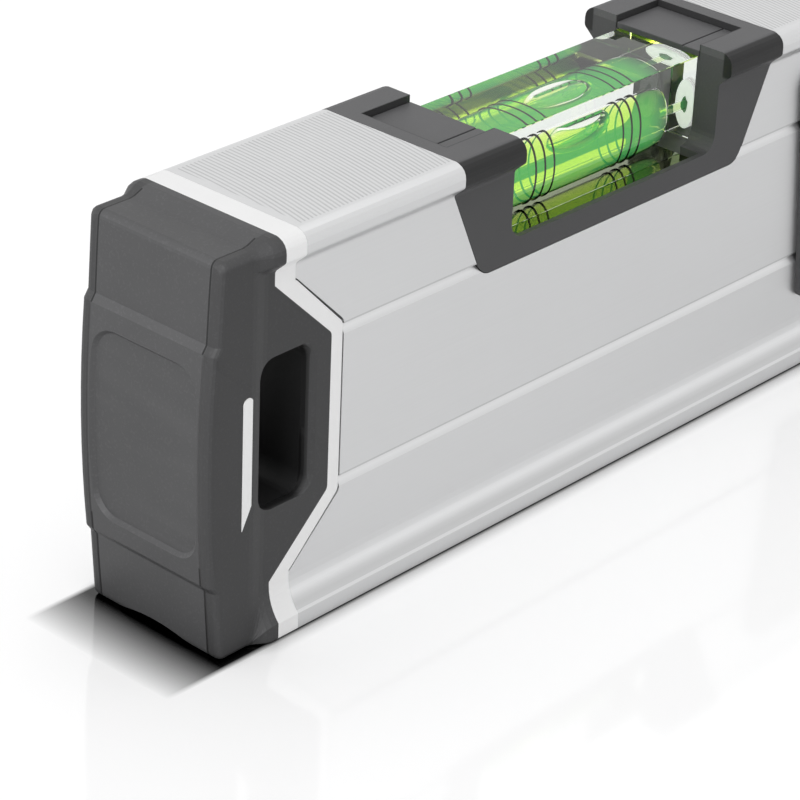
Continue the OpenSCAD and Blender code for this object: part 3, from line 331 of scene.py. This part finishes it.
rubberLook = {
    "tone": (0.077, 0.077, 0.079),
    "plain": 0.82,
    "rough": 0.42,
    "specular": 0.28,
    "reliefDepth": 0.02,
    # painted light on slopes and corners, painted shade on what looks down
    "edgeLight": (0.42, 0.16, 0.45),
    "grainNoise": (6.0, 3.0, 0.6),
    "grainTone": 0.12,
    "grainRough": 0.14,
    "grainRelief": 0.7,
    "poreNoise": (14.0, 1.0),
    "poreTone": 0.06,
    "poreRelief": 0.3,
    "speckNoise": (2.4, 1.0),
    "speckFrom": 0.62,
    "speckTone": 0.12,
    "cloudNoise": (0.09, 3.0),
    "cloudTone": 0.14,
    "partingY": 10.45,  # mould line along both edges of the cap's end
    "partingHalf": 0.14,
    "partingFrom": 190.0,
    "partingGap": (30.5, 15.8),  # no line across the raised panel: its middle and half its height
    "partingShade": 0.75,
    "partingRelief": 3.0,
    "flankFade": 3.0,  # painted shade: the flanks beyond the mould line are darker
    "flankShade": 0.68,
    "slotMiddle": (185.7, 31.3),  # painted shade inside the hanging slot
    "slotHalf": (5.2, 11.9),
    "slotFrom": 11.95,
    "slotFade": 1.6,
    "slotShade": 0.20,
    "foldStart": (199.0, 46.4),  # soft fold on the side face, from the end to the slot's rim
    "foldSlope": 0.95,
    "foldFade": 0.8,
    "foldRelief": 14.0,
}


def darkCapRubber(look=rubberLook):
    finish = Finish("darkCapRubber")
    place = finish.place()
    x, y, z = finish.split(place)
    grain = finish.noise(place, *look["grainNoise"])
    pores = finish.noise(place, *look["poreNoise"])
    specks = finish.noise(place, *look["speckNoise"]) > look["speckFrom"]
    cloud = finish.noise(place, *look["cloudNoise"])
    along, across = abs(x), abs(y)
    gapMiddle, gapHalf = look["partingGap"]
    parting = ((abs(across - look["partingY"]) < look["partingHalf"]) * (along > look["partingFrom"])
               * (abs(z - gapMiddle) > gapHalf))
    # painted shade on the flanks beyond the mould line
    flank = ((across - look["partingY"]) * look["flankFade"]).held()
    middle, half = look["slotMiddle"], look["slotHalf"]
    # painted shade inside the hanging slot
    paintedSlotShade = ((abs(along - middle[0]) < half[0]) * (abs(z - middle[1]) < half[1])
              * ((look["slotFrom"] - across) * look["slotFade"]).held())
    foldEnd, foldTop = look["foldStart"]
    fold = ((foldTop - z - (foldEnd - along) * look["foldSlope"]) * look["foldFade"]).held()
    shade = ((1 - flank * (1 - look["flankShade"])) * (1 - paintedSlotShade * (1 - look["slotShade"]))
             * (1 - parting * look["partingShade"]))
    grown = (look["plain"] + cloud * look["cloudTone"] + grain * look["grainTone"]
             + pores * look["poreTone"] + specks * look["speckTone"])
    height = (grain * look["grainRelief"] + pores * look["poreRelief"] - parting * look["partingRelief"]
              + fold * flank * look["foldRelief"])
    finish.surface(
        Base_Color=finish.tinted(look["tone"], grown * shade * finish.paintedEdgeLight(*look["edgeLight"])),
        Roughness=look["rough"] + grain * look["grainRough"],
        Specular_IOR_Level=look["specular"],
        Normal=finish.bump(height, look["reliefDepth"]))
    return finish.material


plasticLook = {
    "tone": (0.064, 0.064, 0.066),
    "plain": 0.82,
    "rough": 0.42,
    "specular": 0.36,
    "reliefDepth": 0.02,
    # painted light on slopes and corners, painted shade on what looks down
    "edgeLight": (0.1, 0.15, 0.2),
    "grainNoise": (7.0, 3.0, 0.65),
    "grainTone": 0.14,
    "grainRough": 0.16,
    "speckNoise": (6.0, 1.0),
    "speckFrom": 0.64,
    "speckTone": 0.22,
    "cloudNoise": (0.12, 2.0),
    "cloudTone": 0.14,
    "topFrom": 58.8,  # painted light on the top, painted shade on the edge below it
    "topHalf": 12.6,
    "topFade": 8.0,
    "topGain": 0.45,
    "edgeLow": 56.0,
    "edgeFrom": 12.3,
    "edgeFades": (3.0, 4.0),  # upwards and outwards
    "edgeShade": 0.16,
    "clipMiddle": -118.0,  # joint around each clip of the vial frame
    "clipEnd": 32.85,
    "clipHalf": 7.95,
    "jointHalf": 0.13,
    "jointFrom": 57.5,
    "jointShade": 0.6,
}


def darkPlastic(look=plasticLook):
    finish = Finish("darkPlastic")
    place = finish.place()
    x, y, z = finish.split(place)
    grain = finish.noise(place, *look["grainNoise"])
    specks = finish.noise(place, *look["speckNoise"]) > look["speckFrom"]
    cloud = finish.noise(place, *look["cloudNoise"])
    # painted light on the top and painted shade on the edge below it
    top = ((z - look["topFrom"]) * look["topFade"]).held() * (abs(y) < look["topHalf"])
    upwards, outwards = look["edgeFades"]
    edge = (((z - look["edgeLow"]) * upwards).held()
            * ((abs(y) - look["edgeFrom"]) * outwards).held())
    reach = abs(x - look["clipMiddle"])
    across = (abs(reach - look["clipEnd"]) < look["jointHalf"]) * (abs(y) < look["clipHalf"])
    along = (abs(abs(y) - look["clipHalf"]) < look["jointHalf"]) * (reach < look["clipEnd"])
    joint = across.highest(along) * (z > look["jointFrom"])
    shade = ((1 + top * look["topGain"]) * (1 - edge * (1 - look["edgeShade"]))
             * (1 - joint * look["jointShade"]))
    grown = (look["plain"] + cloud * look["cloudTone"] + grain * look["grainTone"]
             + specks * look["speckTone"])
    finish.surface(
        Base_Color=finish.tinted(look["tone"], grown * shade * finish.paintedEdgeLight(*look["edgeLight"])),
        Roughness=look["rough"] + grain * look["grainRough"],
        Specular_IOR_Level=look["specular"],
        Normal=finish.bump(grain, look["reliefDepth"]))
    return finish.material


buttonLook = {
    "tone": (0.022, 0.022, 0.024),
    "plain": 0.85,
    "rough": 0.44,
    "specular": 0.45,
    "reliefDepth": 0.012,
    "grainNoise": (10.0, 2.0),
    "grainTone": 0.2,
    "grainRough": 0.1,
    "polishNoise": (0.6, 2.0),  # where fingers have polished it
    "polishTone": 0.2,
    "polishGloss": 0.08,
}


def buttonPlastic(look=buttonLook):
    finish = Finish("buttonPlastic")
    place = finish.place()
    grain = finish.noise(place, *look["grainNoise"])
    polish = finish.noise(place, *look["polishNoise"])
    even = look["plain"] + grain * look["grainTone"] + polish * look["polishTone"]
    finish.surface(
        Base_Color=finish.tinted(look["tone"], even),
        Roughness=look["rough"] + grain * look["grainRough"] - polish * look["polishGloss"],
        Specular_IOR_Level=look["specular"],
        Normal=finish.bump(grain, look["reliefDepth"]))
    return finish.material


acrylicLook = {"tone": (0.93, 0.955, 0.93), "index": 1.49}
liquidLook = {
    "index": 1.44,
    "clear": (0.81, 0.80, 0.0),  # colour that the dye lets through
    "density": 300.0,
    "glow": (0.13, 0.88, 0.42),  # painted light: the liquid glows green though it is no lamp
    "glowDensity": 58.0,
}
plainWhite = (1.0, 1.0, 1.0)


def clearAcrylic(look=acrylicLook):
    finish = Finish("clearAcrylic")
    finish.clear(look["tone"], look["index"])
    return finish.material


# The liquid fills a hole in solid acrylic, and the bubble one in the liquid, so each surface bends
# light by the ratio of the two
def greenLiquid(look=liquidLook, around=acrylicLook):
    finish = Finish("greenLiquid")
    finish.clear(plainWhite, look["index"] / around["index"])
    dye = finish.add("ShaderNodeVolumeAbsorption", inputs={
        "Color": look["clear"], "Density": look["density"]})
    # painted light: a green glow in the liquid
    glow = finish.add("ShaderNodeEmission", inputs={"Color": look["glow"], "Strength": look["glowDensity"]})
    finish.close(finish.add("ShaderNodeAddShader", inputs={0: dye, 1: glow}), "Volume")
    return finish.material


def airBubble(around=liquidLook):
    finish = Finish("airBubble")
    finish.clear(plainWhite, 1 / around["index"])
    return finish.material


lensLook = {
    "tone": (0.90, 0.92, 0.93),
    "index": 1.49,
    "rough": 0.02,
    "smudgeNoise": (0.15, 3.0),
    "smudgeRough": 0.03,
}


def lensAcrylic(look=lensLook):
    finish = Finish("lensAcrylic")
    smudge = finish.noise(finish.place(), *look["smudgeNoise"])
    finish.clear(look["tone"], look["index"], look["rough"] + smudge * look["smudgeRough"])
    return finish.material


filmLook = {
    "tone": (0.13, 0.16, 0.06),
    "plain": 0.85,
    "bright": (0.85, 0.95, 0.30),  # painted light towards the back edge
    "brightFrom": 5.6,
    "brightFade": 0.9,
    "rough": 0.05,
    "dustNoise": (1.5, 3.0, 0.6),
    "dustTone": 0.3,
    "dustRough": 0.04,
}


def reflectorFilm(look=filmLook):
    finish = Finish("reflectorFilm")
    place = finish.place()
    dust = finish.noise(place, *look["dustNoise"])
    # painted light: the film is brighter towards its back edge
    paintedBackLight = ((finish.split(place)[1] - look["brightFrom"]) * look["brightFade"]).held()
    tone = finish.mixed(paintedBackLight, look["tone"], look["bright"])
    finish.surface(
        Base_Color=finish.tinted(tone, look["plain"] + dust * look["dustTone"]),
        Metallic=1.0,
        Roughness=look["rough"] + dust * look["dustRough"])
    return finish.material


ringLook = {
    "tone": (0.012, 0.014, 0.012),
    "plain": 0.7,
    "rough": 0.6,
    "inkNoise": (9.0, 2.0),
    "inkTone": 0.6,
    "inkRough": 0.1,
}


def blackRing(look=ringLook):
    finish = Finish("blackRing")
    ink = finish.noise(finish.place(), *look["inkNoise"])
    finish.surface(
        Base_Color=finish.tinted(look["tone"], look["plain"] + ink * look["inkTone"]),
        Roughness=look["rough"] + ink * look["inkRough"],
        Specular_IOR_Level=0.0)
    return finish.material


plugLook = {
    "tone": (0.84, 0.85, 0.83),
    "plain": 0.94,
    # painted light: the plug glows in its own tone
    "glow": 0.6,
    "rough": 0.35,
    "reliefDepth": 0.02,
    "grainNoise": (4.0, 3.0),
    "grainTone": 0.08,
    "grainRough": 0.1,
    "hole": (0.05, 0.14, 0.06),  # dot of glue in the middle, on the horizontal vial's plug alone
    "holeMiddle": 48.7,
    "holeRadius": 1.3,
    "holeWander": 2.2,
    "blotNoise": (1.1, 2.0),
}


def whitePlug(look=plugLook):
    finish = Finish("whitePlug")
    place = finish.place()
    x, y, z = finish.split(place)
    grain = finish.noise(place, *look["grainNoise"])
    blot = finish.noise(place, *look["blotNoise"])
    up = z - look["holeMiddle"]
    rim = look["holeRadius"] + (blot - 0.5) * look["holeWander"]
    glue = (x < 0) * (y * y + up * up < rim * look["holeRadius"])
    tone = finish.tinted(finish.mixed(glue, look["tone"], look["hole"]),
                         look["plain"] + grain * look["grainTone"])
    # painted light: the plug glows though it is no lamp
    finish.surface(
        Base_Color=tone,
        Roughness=look["rough"] + grain * look["grainRough"],
        Normal=finish.bump(grain + glue, look["reliefDepth"]),
        Emission_Color=tone,
        Emission_Strength=look["glow"])
    return finish.material


glassLook = {
    "tone": (0.36, 0.40, 0.33),
    "shade": (0.27, 0.31, 0.25),
    "rough": 0.16,
    "cloudNoise": (0.05, 1.0),
    "cloudRough": 0.06,
    "cells": 4,  # per millimetre
    "cellGap": 0.08,
    "cellShade": 0.05,
}


def displayGlass(look=glassLook):
    finish = Finish("displayGlass")
    place = finish.place()
    x, _, z = finish.split(place)
    columns, rows = ((side * look["cells"]).fraction() < look["cellGap"] for side in (x, z))
    cloud = finish.noise(place, *look["cloudNoise"])
    tone = finish.mixed(cloud, look["tone"], look["shade"])
    finish.surface(
        Base_Color=finish.tinted(tone, 1 - columns.highest(rows) * look["cellShade"]),
        Roughness=look["rough"] + cloud * look["cloudRough"])
    return finish.material


boardLook = {
    "mask": (0.010, 0.085, 0.040),
    "track": (0.030, 0.170, 0.075),
    "ring": (0.62, 0.50, 0.25),
    "rough": 0.32,
    "reliefDepth": 0.03,
    "bendNoise": (0.08, 0.0),  # the tracks bend with it
    "bendRough": 0.1,
    "tracks": 0.35,  # per millimetre, at a slant
    "trackBend": 4,
    "trackWidth": 0.36,
    "breaks": 0.16,
    "breakFrom": 0.7,
    "rings": 0.24,
    "ringRadius": 0.10,
}


def boardLaminate(look=boardLook):
    finish = Finish("boardLaminate")
    place = finish.place()
    x, _, z = finish.split(place)
    bend = finish.noise(place, *look["bendNoise"])
    slant = (x * look["tracks"] + z * look["tracks"] + bend * look["trackBend"]).fraction()
    tracks = (slant < look["trackWidth"]) * ((z * look["breaks"] + bend).fraction() < look["breakFrom"])
    cells = finish.add("ShaderNodeTexVoronoi", inputs={"Vector": place, "Scale": look["rings"]})
    rings = cells < look["ringRadius"]
    tone = finish.mixed(tracks, look["mask"], look["track"])
    finish.surface(
        Base_Color=finish.mixed(rings, tone, look["ring"]),
        Roughness=look["rough"] + bend * look["bendRough"],
        Normal=finish.bump(tracks + rings, look["reliefDepth"]))
    return finish.material


mouldedLook = {"plain": 0.85, "detail": 3.0, "grainTone": 0.3, "grainRough": 0.1, "reliefDepth": 0.01}


def moulded(name, tone, rough, grainSize, look=mouldedLook):
    finish = Finish(name)
    grain = finish.noise(finish.place(), 1 / grainSize, look["detail"])
    finish.surface(
        Base_Color=finish.tinted(tone, look["plain"] + grain * look["grainTone"]),
        Roughness=rough + grain * look["grainRough"],
        Normal=finish.bump(grain, look["reliefDepth"]))
    return finish.material


metalLook = {
    "plain": 0.86,
    "reliefDepth": 0.006,
    "drawnStretch": (0.3, 4.0, 4.0),
    "drawnNoise": (2.0, 2.0),
    "drawnTone": 0.12,
    "stainNoise": (0.4, 3.0),
    "stainTone": 0.12,
    "stainRough": 0.12,
}


def metalSkin(name, tone, rough, look=metalLook):
    finish = Finish(name)
    place = finish.place()
    drawn = finish.noise(finish.stretched(place, look["drawnStretch"]), *look["drawnNoise"])
    stain = finish.noise(place, *look["stainNoise"])
    even = look["plain"] + drawn * look["drawnTone"] + stain * look["stainTone"]
    finish.surface(
        Base_Color=finish.tinted(tone, even),
        Metallic=1.0,
        Roughness=rough + stain * look["stainRough"],
        Normal=finish.bump(drawn, look["reliefDepth"]))
    return finish.material


batteryLook = {
    "sleeve": (0.030, 0.032, 0.036),
    "band": (0.72, 0.40, 0.20),
    "bandFrom": 6.0,
    "bandMetal": 0.4,
    "middle": 31.35,  # height between the two cells
    "plain": 0.9,
    "metal": 0.35,
    "rough": 0.28,
    "printNoise": (3.0, 2.0),
    "printTone": 0.2,
    "printRough": 0.08,
}


def batteryCase(look=batteryLook):
    finish = Finish("batteryCase")
    place = finish.place()
    x, _, z = finish.split(place)
    heads = (z > look["middle"]) * 2 - 1  # the two cells lie head to tail
    band = (x * heads) > look["bandFrom"]
    ink = finish.noise(place, *look["printNoise"])
    tone = finish.mixed(band, look["sleeve"], look["band"])
    finish.surface(
        Base_Color=finish.tinted(tone, look["plain"] + ink * look["printTone"]),
        Metallic=look["metal"] + band * look["bandMetal"],
        Roughness=look["rough"] + ink * look["printRough"])
    return finish.material


finishes = {
    "anodised_aluminium": anodisedAluminium(),
    "light_cap_plastic": lightCapPlastic(),
    "dark_cap_rubber": darkCapRubber(),
    "dark_plastic": darkPlastic(),
    "button_plastic": buttonPlastic(),
    "reflector_film": reflectorFilm(),
    "clear_acrylic": clearAcrylic(),
    "green_liquid": greenLiquid(),
    "black_ring": blackRing(),
    "white_plug": whitePlug(),
    "lens_acrylic": lensAcrylic(),
    "display_glass": displayGlass(),
    "connector_strip": moulded("connectorStrip", tone=(0.05, 0.05, 0.055), rough=0.5, grainSize=0.3),
    "board_laminate": boardLaminate(),
    "chip_plastic": moulded("chipPlastic", tone=(0.025, 0.025, 0.028), rough=0.42, grainSize=0.15),
    "bright_steel": metalSkin("brightSteel", tone=(0.62, 0.62, 0.63), rough=0.24),
    "magnet_nickel": metalSkin("magnetNickel", tone=(0.66, 0.65, 0.62), rough=0.18),
    "battery_case": batteryCase(),
}
for part in frame["record"]["subparts"]:
    owner = nodes[part["node"]]
    if not owner.material_slots:
        owner.data.materials.append(None)
    for holder in owner.material_slots:
        holder.material = finishes[part["material_slot"]]
print("finishes made:", len(finishes))

# Width of the soft edge of each solid piece, in millimetres, and its steps
softEdges = {
    "profile": (0.16, 2),
    "cap_core_left": (0.22, 2),
    "cap_core_right": (0.22, 2),
    "cap_bumper_left": (0.45, 3),
    "cap_bumper_right": (0.45, 3),
    "vial_frame": (0.30, 2),
    "vial_clip_left": (0.12, 2),
    "vial_clip_right": (0.12, 2),
    "plumb_frame": (0.35, 2),
    "display_bezel": (0.20, 2),
    "rear_cover": (0.20, 2),
    "battery_door": (0.15, 2),
    "button_power": (0.20, 2),
    "button_hold": (0.20, 2),
    "button_zero": (0.20, 2),
    "button_unit": (0.20, 2),
    "button_sound": (0.20, 2),
}
edgeRules = {"sameCorner": 0.002, "sameFace": 0.4, "sharpFrom": 28.0}  # millimetres, degrees, degrees


def softenEdges(widths=softEdges, rules=edgeRules):
    for name, (width, steps) in widths.items():
        weld = nodes[name].modifiers.new("joinedCorners", "WELD")
        weld.merge_threshold = rules["sameCorner"] * mm
        flat = nodes[name].modifiers.new("wholeFaces", "DECIMATE")
        flat.decimate_type = "DISSOLVE"
        flat.angle_limit = math.radians(rules["sameFace"])
        edge = nodes[name].modifiers.new("softEdge", "BEVEL")
        edge.width = width * mm
        edge.segments = steps
        edge.limit_method = "ANGLE"
        edge.angle_limit = math.radians(rules["sharpFrom"])
        edge.profile = 0.5
        edge.material = -1
        edge.harden_normals = True


softenEdges()
print("edges softened:", len(softEdges))


def meshObject(name, mesh, finish):
    shape = bpy.data.meshes.new(name)
    mesh.to_mesh(shape)
    mesh.free()
    shape.materials.append(finish)
    made = bpy.data.objects.new(name, shape)
    bpy.context.scene.collection.objects.link(made)
    return made


def asPiece(name, mesh, slot, *stoodFor, finish=None, smooth=True):
    for face in mesh.faces:
        face.smooth = smooth
    piece = meshObject(name, mesh, finish or finishes[slot])
    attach(piece, "level_body")
    if stoodFor:
        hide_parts(*stoodFor)


sameSpot = 0.0005  # corners closer than this, in millimetres, become one


# Solid of revolution from pairs of place along its axis and radius
def turned(outline, steps, turn):
    mesh = bmesh.new()
    ring = [mesh.verts.new((radius, 0, at)) for at, radius in outline]
    edges = [mesh.edges.new(pair) for pair in zip(ring, ring[1:])]
    bmesh.ops.spin(mesh, geom=ring + edges, cent=(0, 0, 0), axis=(0, 0, 1),
                   angle=2 * math.pi, steps=steps, use_merge=True)
    bmesh.ops.remove_doubles(mesh, verts=mesh.verts, dist=sameSpot * mm)
    bmesh.ops.recalc_face_normals(mesh, faces=mesh.faces)
    bmesh.ops.transform(mesh, matrix=turn, verts=mesh.verts)
    return mesh


barrelSteps = {"corner": 8, "wall": 20, "round": 96}


# Barrel outline with round corners, from the far end of its filling channel to its other end
def barrelOutline(radius, sag, length, corner, channel, tip, steps=barrelSteps):
    half = length / 2
    bend = [(math.sin(turn) * corner, math.cos(turn) * corner)
            for turn in (math.pi / 2 * step / steps["corner"] for step in range(steps["corner"] + 1))]
    end = radius - sag
    rise = [(half - corner + up, end - corner + out) for up, out in reversed(bend)]
    middle = [(half * at, radius - sag * at * at)
              for at in (1 - 2 * step / steps["wall"] for step in range(1, steps["wall"]))
              if abs(half * at) < half - corner]
    mouth = [(tip, 0), (tip, channel), (half, channel)]
    return mouth + rise + middle + [(-up, out) for up, out in reversed(rise)] + [(-half, 0)]


vialBlockSize = {"edge": 0.16, "edgeSteps": 2, "sink": 0.02}  # sinks into the film, so no gap shows


def glassBlock(name, node, size=vialBlockSize):
    low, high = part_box(node)
    low.z -= size["sink"] * mm
    mesh = bmesh.new()
    bmesh.ops.create_cube(mesh, size=2)
    bmesh.ops.scale(mesh, vec=(high - low) / 2, verts=mesh.verts)
    bmesh.ops.bevel(mesh, geom=mesh.edges[:], offset=size["edge"] * mm, segments=size["edgeSteps"],
                    profile=0.5, affect="EDGES", material=-1)
    bmesh.ops.translate(mesh, vec=(low + high) / 2, verts=mesh.verts)
    asPiece(name, mesh, "clear_acrylic", node, smooth=False)


alongX = Matrix.Rotation(math.pi / 2, 4, "Y")
vialLiquidSize = {"sag": 0.3, "corner": 1.8, "channel": 0.8, "length": 37.9}


# Liquid with the narrow channel that it was filled through
def vialLiquid(size=vialLiquidSize):
    low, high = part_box("vial_fluid")
    radius = high.y
    length = size["length"] * mm
    outline = barrelOutline(radius, size["sag"] * mm, length, size["corner"] * mm,
                            size["channel"] * mm, high.x - low.x - length / 2)
    centre = Vector((low.x + length / 2, 0, (low.z + high.z) / 2))
    mesh = turned(outline, barrelSteps["round"], Matrix.Translation(centre) @ alongX)
    asPiece("vialLiquid", mesh, "green_liquid", "vial_fluid")
    return centre, radius


airFinish = airBubble()
bubbleSize = {
    "half": (7.0, 3.2, 2.9),  # half its length, width and height
    "rise": 2.9,
    "film": 0.06,
    "steps": (64, 40),
}


def vialBubble(centre, radius, size=bubbleSize, barrel=vialLiquidSize):
    mesh = bmesh.new()
    around, along = size["steps"]
    bmesh.ops.create_uvsphere(mesh, u_segments=around, v_segments=along, radius=1)
    bmesh.ops.transform(mesh, matrix=alongX, verts=mesh.verts)
    bmesh.ops.scale(mesh, vec=[half * mm for half in size["half"]], verts=mesh.verts)
    bmesh.ops.translate(mesh, vec=(0, 0, size["rise"] * mm), verts=mesh.verts)
    reach = radius - size["film"] * mm
    end = barrel["length"] * mm / 2
    for corner in mesh.verts:  # the bubble lies flat against the barrel's roof
        away = math.hypot(corner.co.y, corner.co.z)
        limit = reach - barrel["sag"] * mm * (corner.co.x / end) ** 2
        if away > limit:
            corner.co.y *= limit / away
            corner.co.z *= limit / away
    bmesh.ops.translate(mesh, vec=centre, verts=mesh.verts)
    bmesh.ops.recalc_face_normals(mesh, faces=mesh.faces)
    asPiece("vialBubble", mesh, "clear_acrylic", finish=airFinish)


plugSize = {
    "dimple": 1.0,
    "dimpleFloor": 0.4,
    "dimpleDepth": 0.3,
    "edge": 0.15,
    "edgeBend": 0.045,
    "clear": 0.03,
    "steps": 64,
}


def vialPlug(size=plugSize):
    low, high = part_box("vial_plug")
    radius = high.y - size["clear"] * mm
    length = high.x - low.x
    depth, edge, bend = (size[key] * mm for key in ("dimpleDepth", "edge", "edgeBend"))
    outline = [(depth, 0), (depth, size["dimpleFloor"] * mm), (0, size["dimple"] * mm),
               (0, radius - edge), (bend, radius - bend), (edge, radius),
               (length - edge, radius), (length, radius - edge), (length, 0)]
    mesh = turned(outline, size["steps"], Matrix.Translation((low.x, 0, (low.z + high.z) / 2)) @ alongX)
    asPiece("vialPlug", mesh, "white_plug", "vial_plug")


glassBlock("vialBlock", "vial_block")
barrelCentre, barrelRadius = vialLiquid()
vialBubble(barrelCentre, barrelRadius)
vialPlug()
print("horizontal vial made")

upsideDown = Matrix.Rotation(math.pi, 4, "X")
plumbSize = {
    "sag": 0.3,
    "corner": 1.5,
    "channel": 0.8,
    "length": 23.0,
    "air": 4.6,
    "film": 0.06,
    "clear": 0.2,  # least height from the liquid's level to the next ring of the air above it
    "rimIn": 0.5,  # the level curves up towards the wall
    "rimUp": 0.25,
}


def plumbVial(size=plumbSize):
    glassBlock("plumbBlock", "plumb_block")
    low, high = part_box("plumb_fluid")
    length = size["length"] * mm
    film = size["film"] * mm
    top = high.z + size["air"] * mm
    centre = Vector(((low.x + high.x) / 2, 0, top - length / 2))
    outline = barrelOutline(high.y, size["sag"] * mm, length, size["corner"] * mm,
                            size["channel"] * mm, centre.z - low.z)
    turn = Matrix.Translation(centre) @ upsideDown
    liquid = turned(outline, barrelSteps["round"], turn)
    asPiece("plumbLiquid", liquid, "green_liquid", "plumb_fluid")
    level = -length / 2 + size["air"] * mm
    above = [(at + film, max(0.0, out - film)) for at, out in outline if at < level - size["clear"] * mm]
    side = above[0][1]
    above[-1] = (above[-1][0], 0)
    surface = [(level, 0), (level, side - size["rimIn"] * mm), (level - size["rimUp"] * mm, side)]
    air = turned(surface + above, barrelSteps["round"], turn)
    asPiece("plumbBubble", air, "clear_acrylic", finish=airFinish)


plumbVial()
print("plumb vial made")


def seenDirectly(finish):
    return [finish.add("ShaderNodeLightPath", output=ray)
            for ray in ("Is Camera Ray", "Is Glossy Ray", "Is Transmission Ray")]


worldLook = {"tone": plainWhite, "lit": 0.66, "seen": 1.0}  # strength on the object and to the eye


def whiteWorld(look=worldLook):
    world = bpy.data.worlds.new("studioWorld")
    world.use_nodes = True
    bpy.context.scene.world = world
    finish = Finish("studioWorld", world.node_tree)
    camera, glossy, through = seenDirectly(finish)
    seen = camera.highest(glossy).highest(through)
    finish.close(finish.add("ShaderNodeBackground", inputs={
        "Color": look["tone"], "Strength": look["lit"] + seen * (look["seen"] - look["lit"])}))


floorLook = {
    "half": 6.0,  # metres, and millimetres from here on
    "below": 0.02,
    "tone": (0.80, 0.80, 0.803),
    "plain": 0.99,
    "cloudNoise": (0.01, 1.0),
    "cloudTone": 0.02,
    "rough": 0.07,
    "specular": 0.5,
    "glow": 0.27,  # to the eye, and less of it in mirrors and glass
    "mirrored": 0.20,
    "shadeReach": 2.8,  # painted contact shadow where the level stands
    "shadeSamples": 8,
    "shadeStart": 198.0,  # painted shadow in front of each cap
    "shadeLength": 10.8,
    "shadeHalf": 13.4,
    "shadeBend": 0.5,
}


def paleFloor(look=floorLook):
    finish = Finish("paleFloor")
    place = finish.place()
    x, y, _ = finish.split(place)
    cloud = finish.noise(place, *look["cloudNoise"])
    camera, glossy, through = seenDirectly(finish)
    # painted contact shadow from occlusion, and a painted shadow in front of each cap
    around = finish.add("ShaderNodeAmbientOcclusion", {"samples": look["shadeSamples"]}, {
        "Color": plainWhite, "Distance": look["shadeReach"] * mm}, output="AO")
    ahead = ((abs(x) - look["shadeStart"]) / look["shadeLength"]).held()
    beside = (abs(y) - look["shadeHalf"]).held()
    bend = look["shadeBend"]
    paintedShadow = around * (1 - (1 - beside) * (1 - ahead * (1 - bend + ahead * bend)))
    tone = finish.tinted(look["tone"], look["plain"] + cloud * look["cloudTone"])
    lit = finish.add("ShaderNodeBsdfPrincipled", inputs={
        "Base Color": finish.tinted(tone, paintedShadow), "Roughness": look["rough"],
        "Specular IOR Level": look["specular"]})
    strength = camera * look["glow"] + glossy.highest(through) * look["mirrored"]
    glow = finish.add("ShaderNodeEmission", inputs={"Color": plainWhite, "Strength": strength * paintedShadow})
    finish.close(finish.add("ShaderNodeAddShader", inputs={0: lit, 1: glow}))
    mesh = bmesh.new()
    bmesh.ops.create_grid(mesh, x_segments=1, y_segments=1, size=look["half"])
    bmesh.ops.translate(mesh, vec=(0, 0, -look["below"] * mm), verts=mesh.verts)
    meshObject("paleFloor", mesh, finish.material)


lampAim = (-0.1, 0.0, 0.03)
lamps = {
    "keyLamp": {"power": 10.0, "place": (-1.5, -0.3, 0.8), "size": 0.9},
    "topLamp": {"power": 3.6, "place": (0.1, 0.2, 1.5), "size": 1.3},
}


def areaLamp(name, power, place, size, aim=lampAim):
    lamp = bpy.data.lights.new(name, "AREA")
    lamp.energy = power
    lamp.size = size
    holder = bpy.data.objects.new(name, lamp)
    holder.location = place
    holder.rotation_euler = (Vector(aim) - Vector(place)).to_track_quat("-Z", "Y").to_euler()
    bpy.context.scene.collection.objects.link(holder)


whiteWorld()
paleFloor()
for lampName, lampLook in lamps.items():
    areaLamp(lampName, **lampLook)
print("studio made")
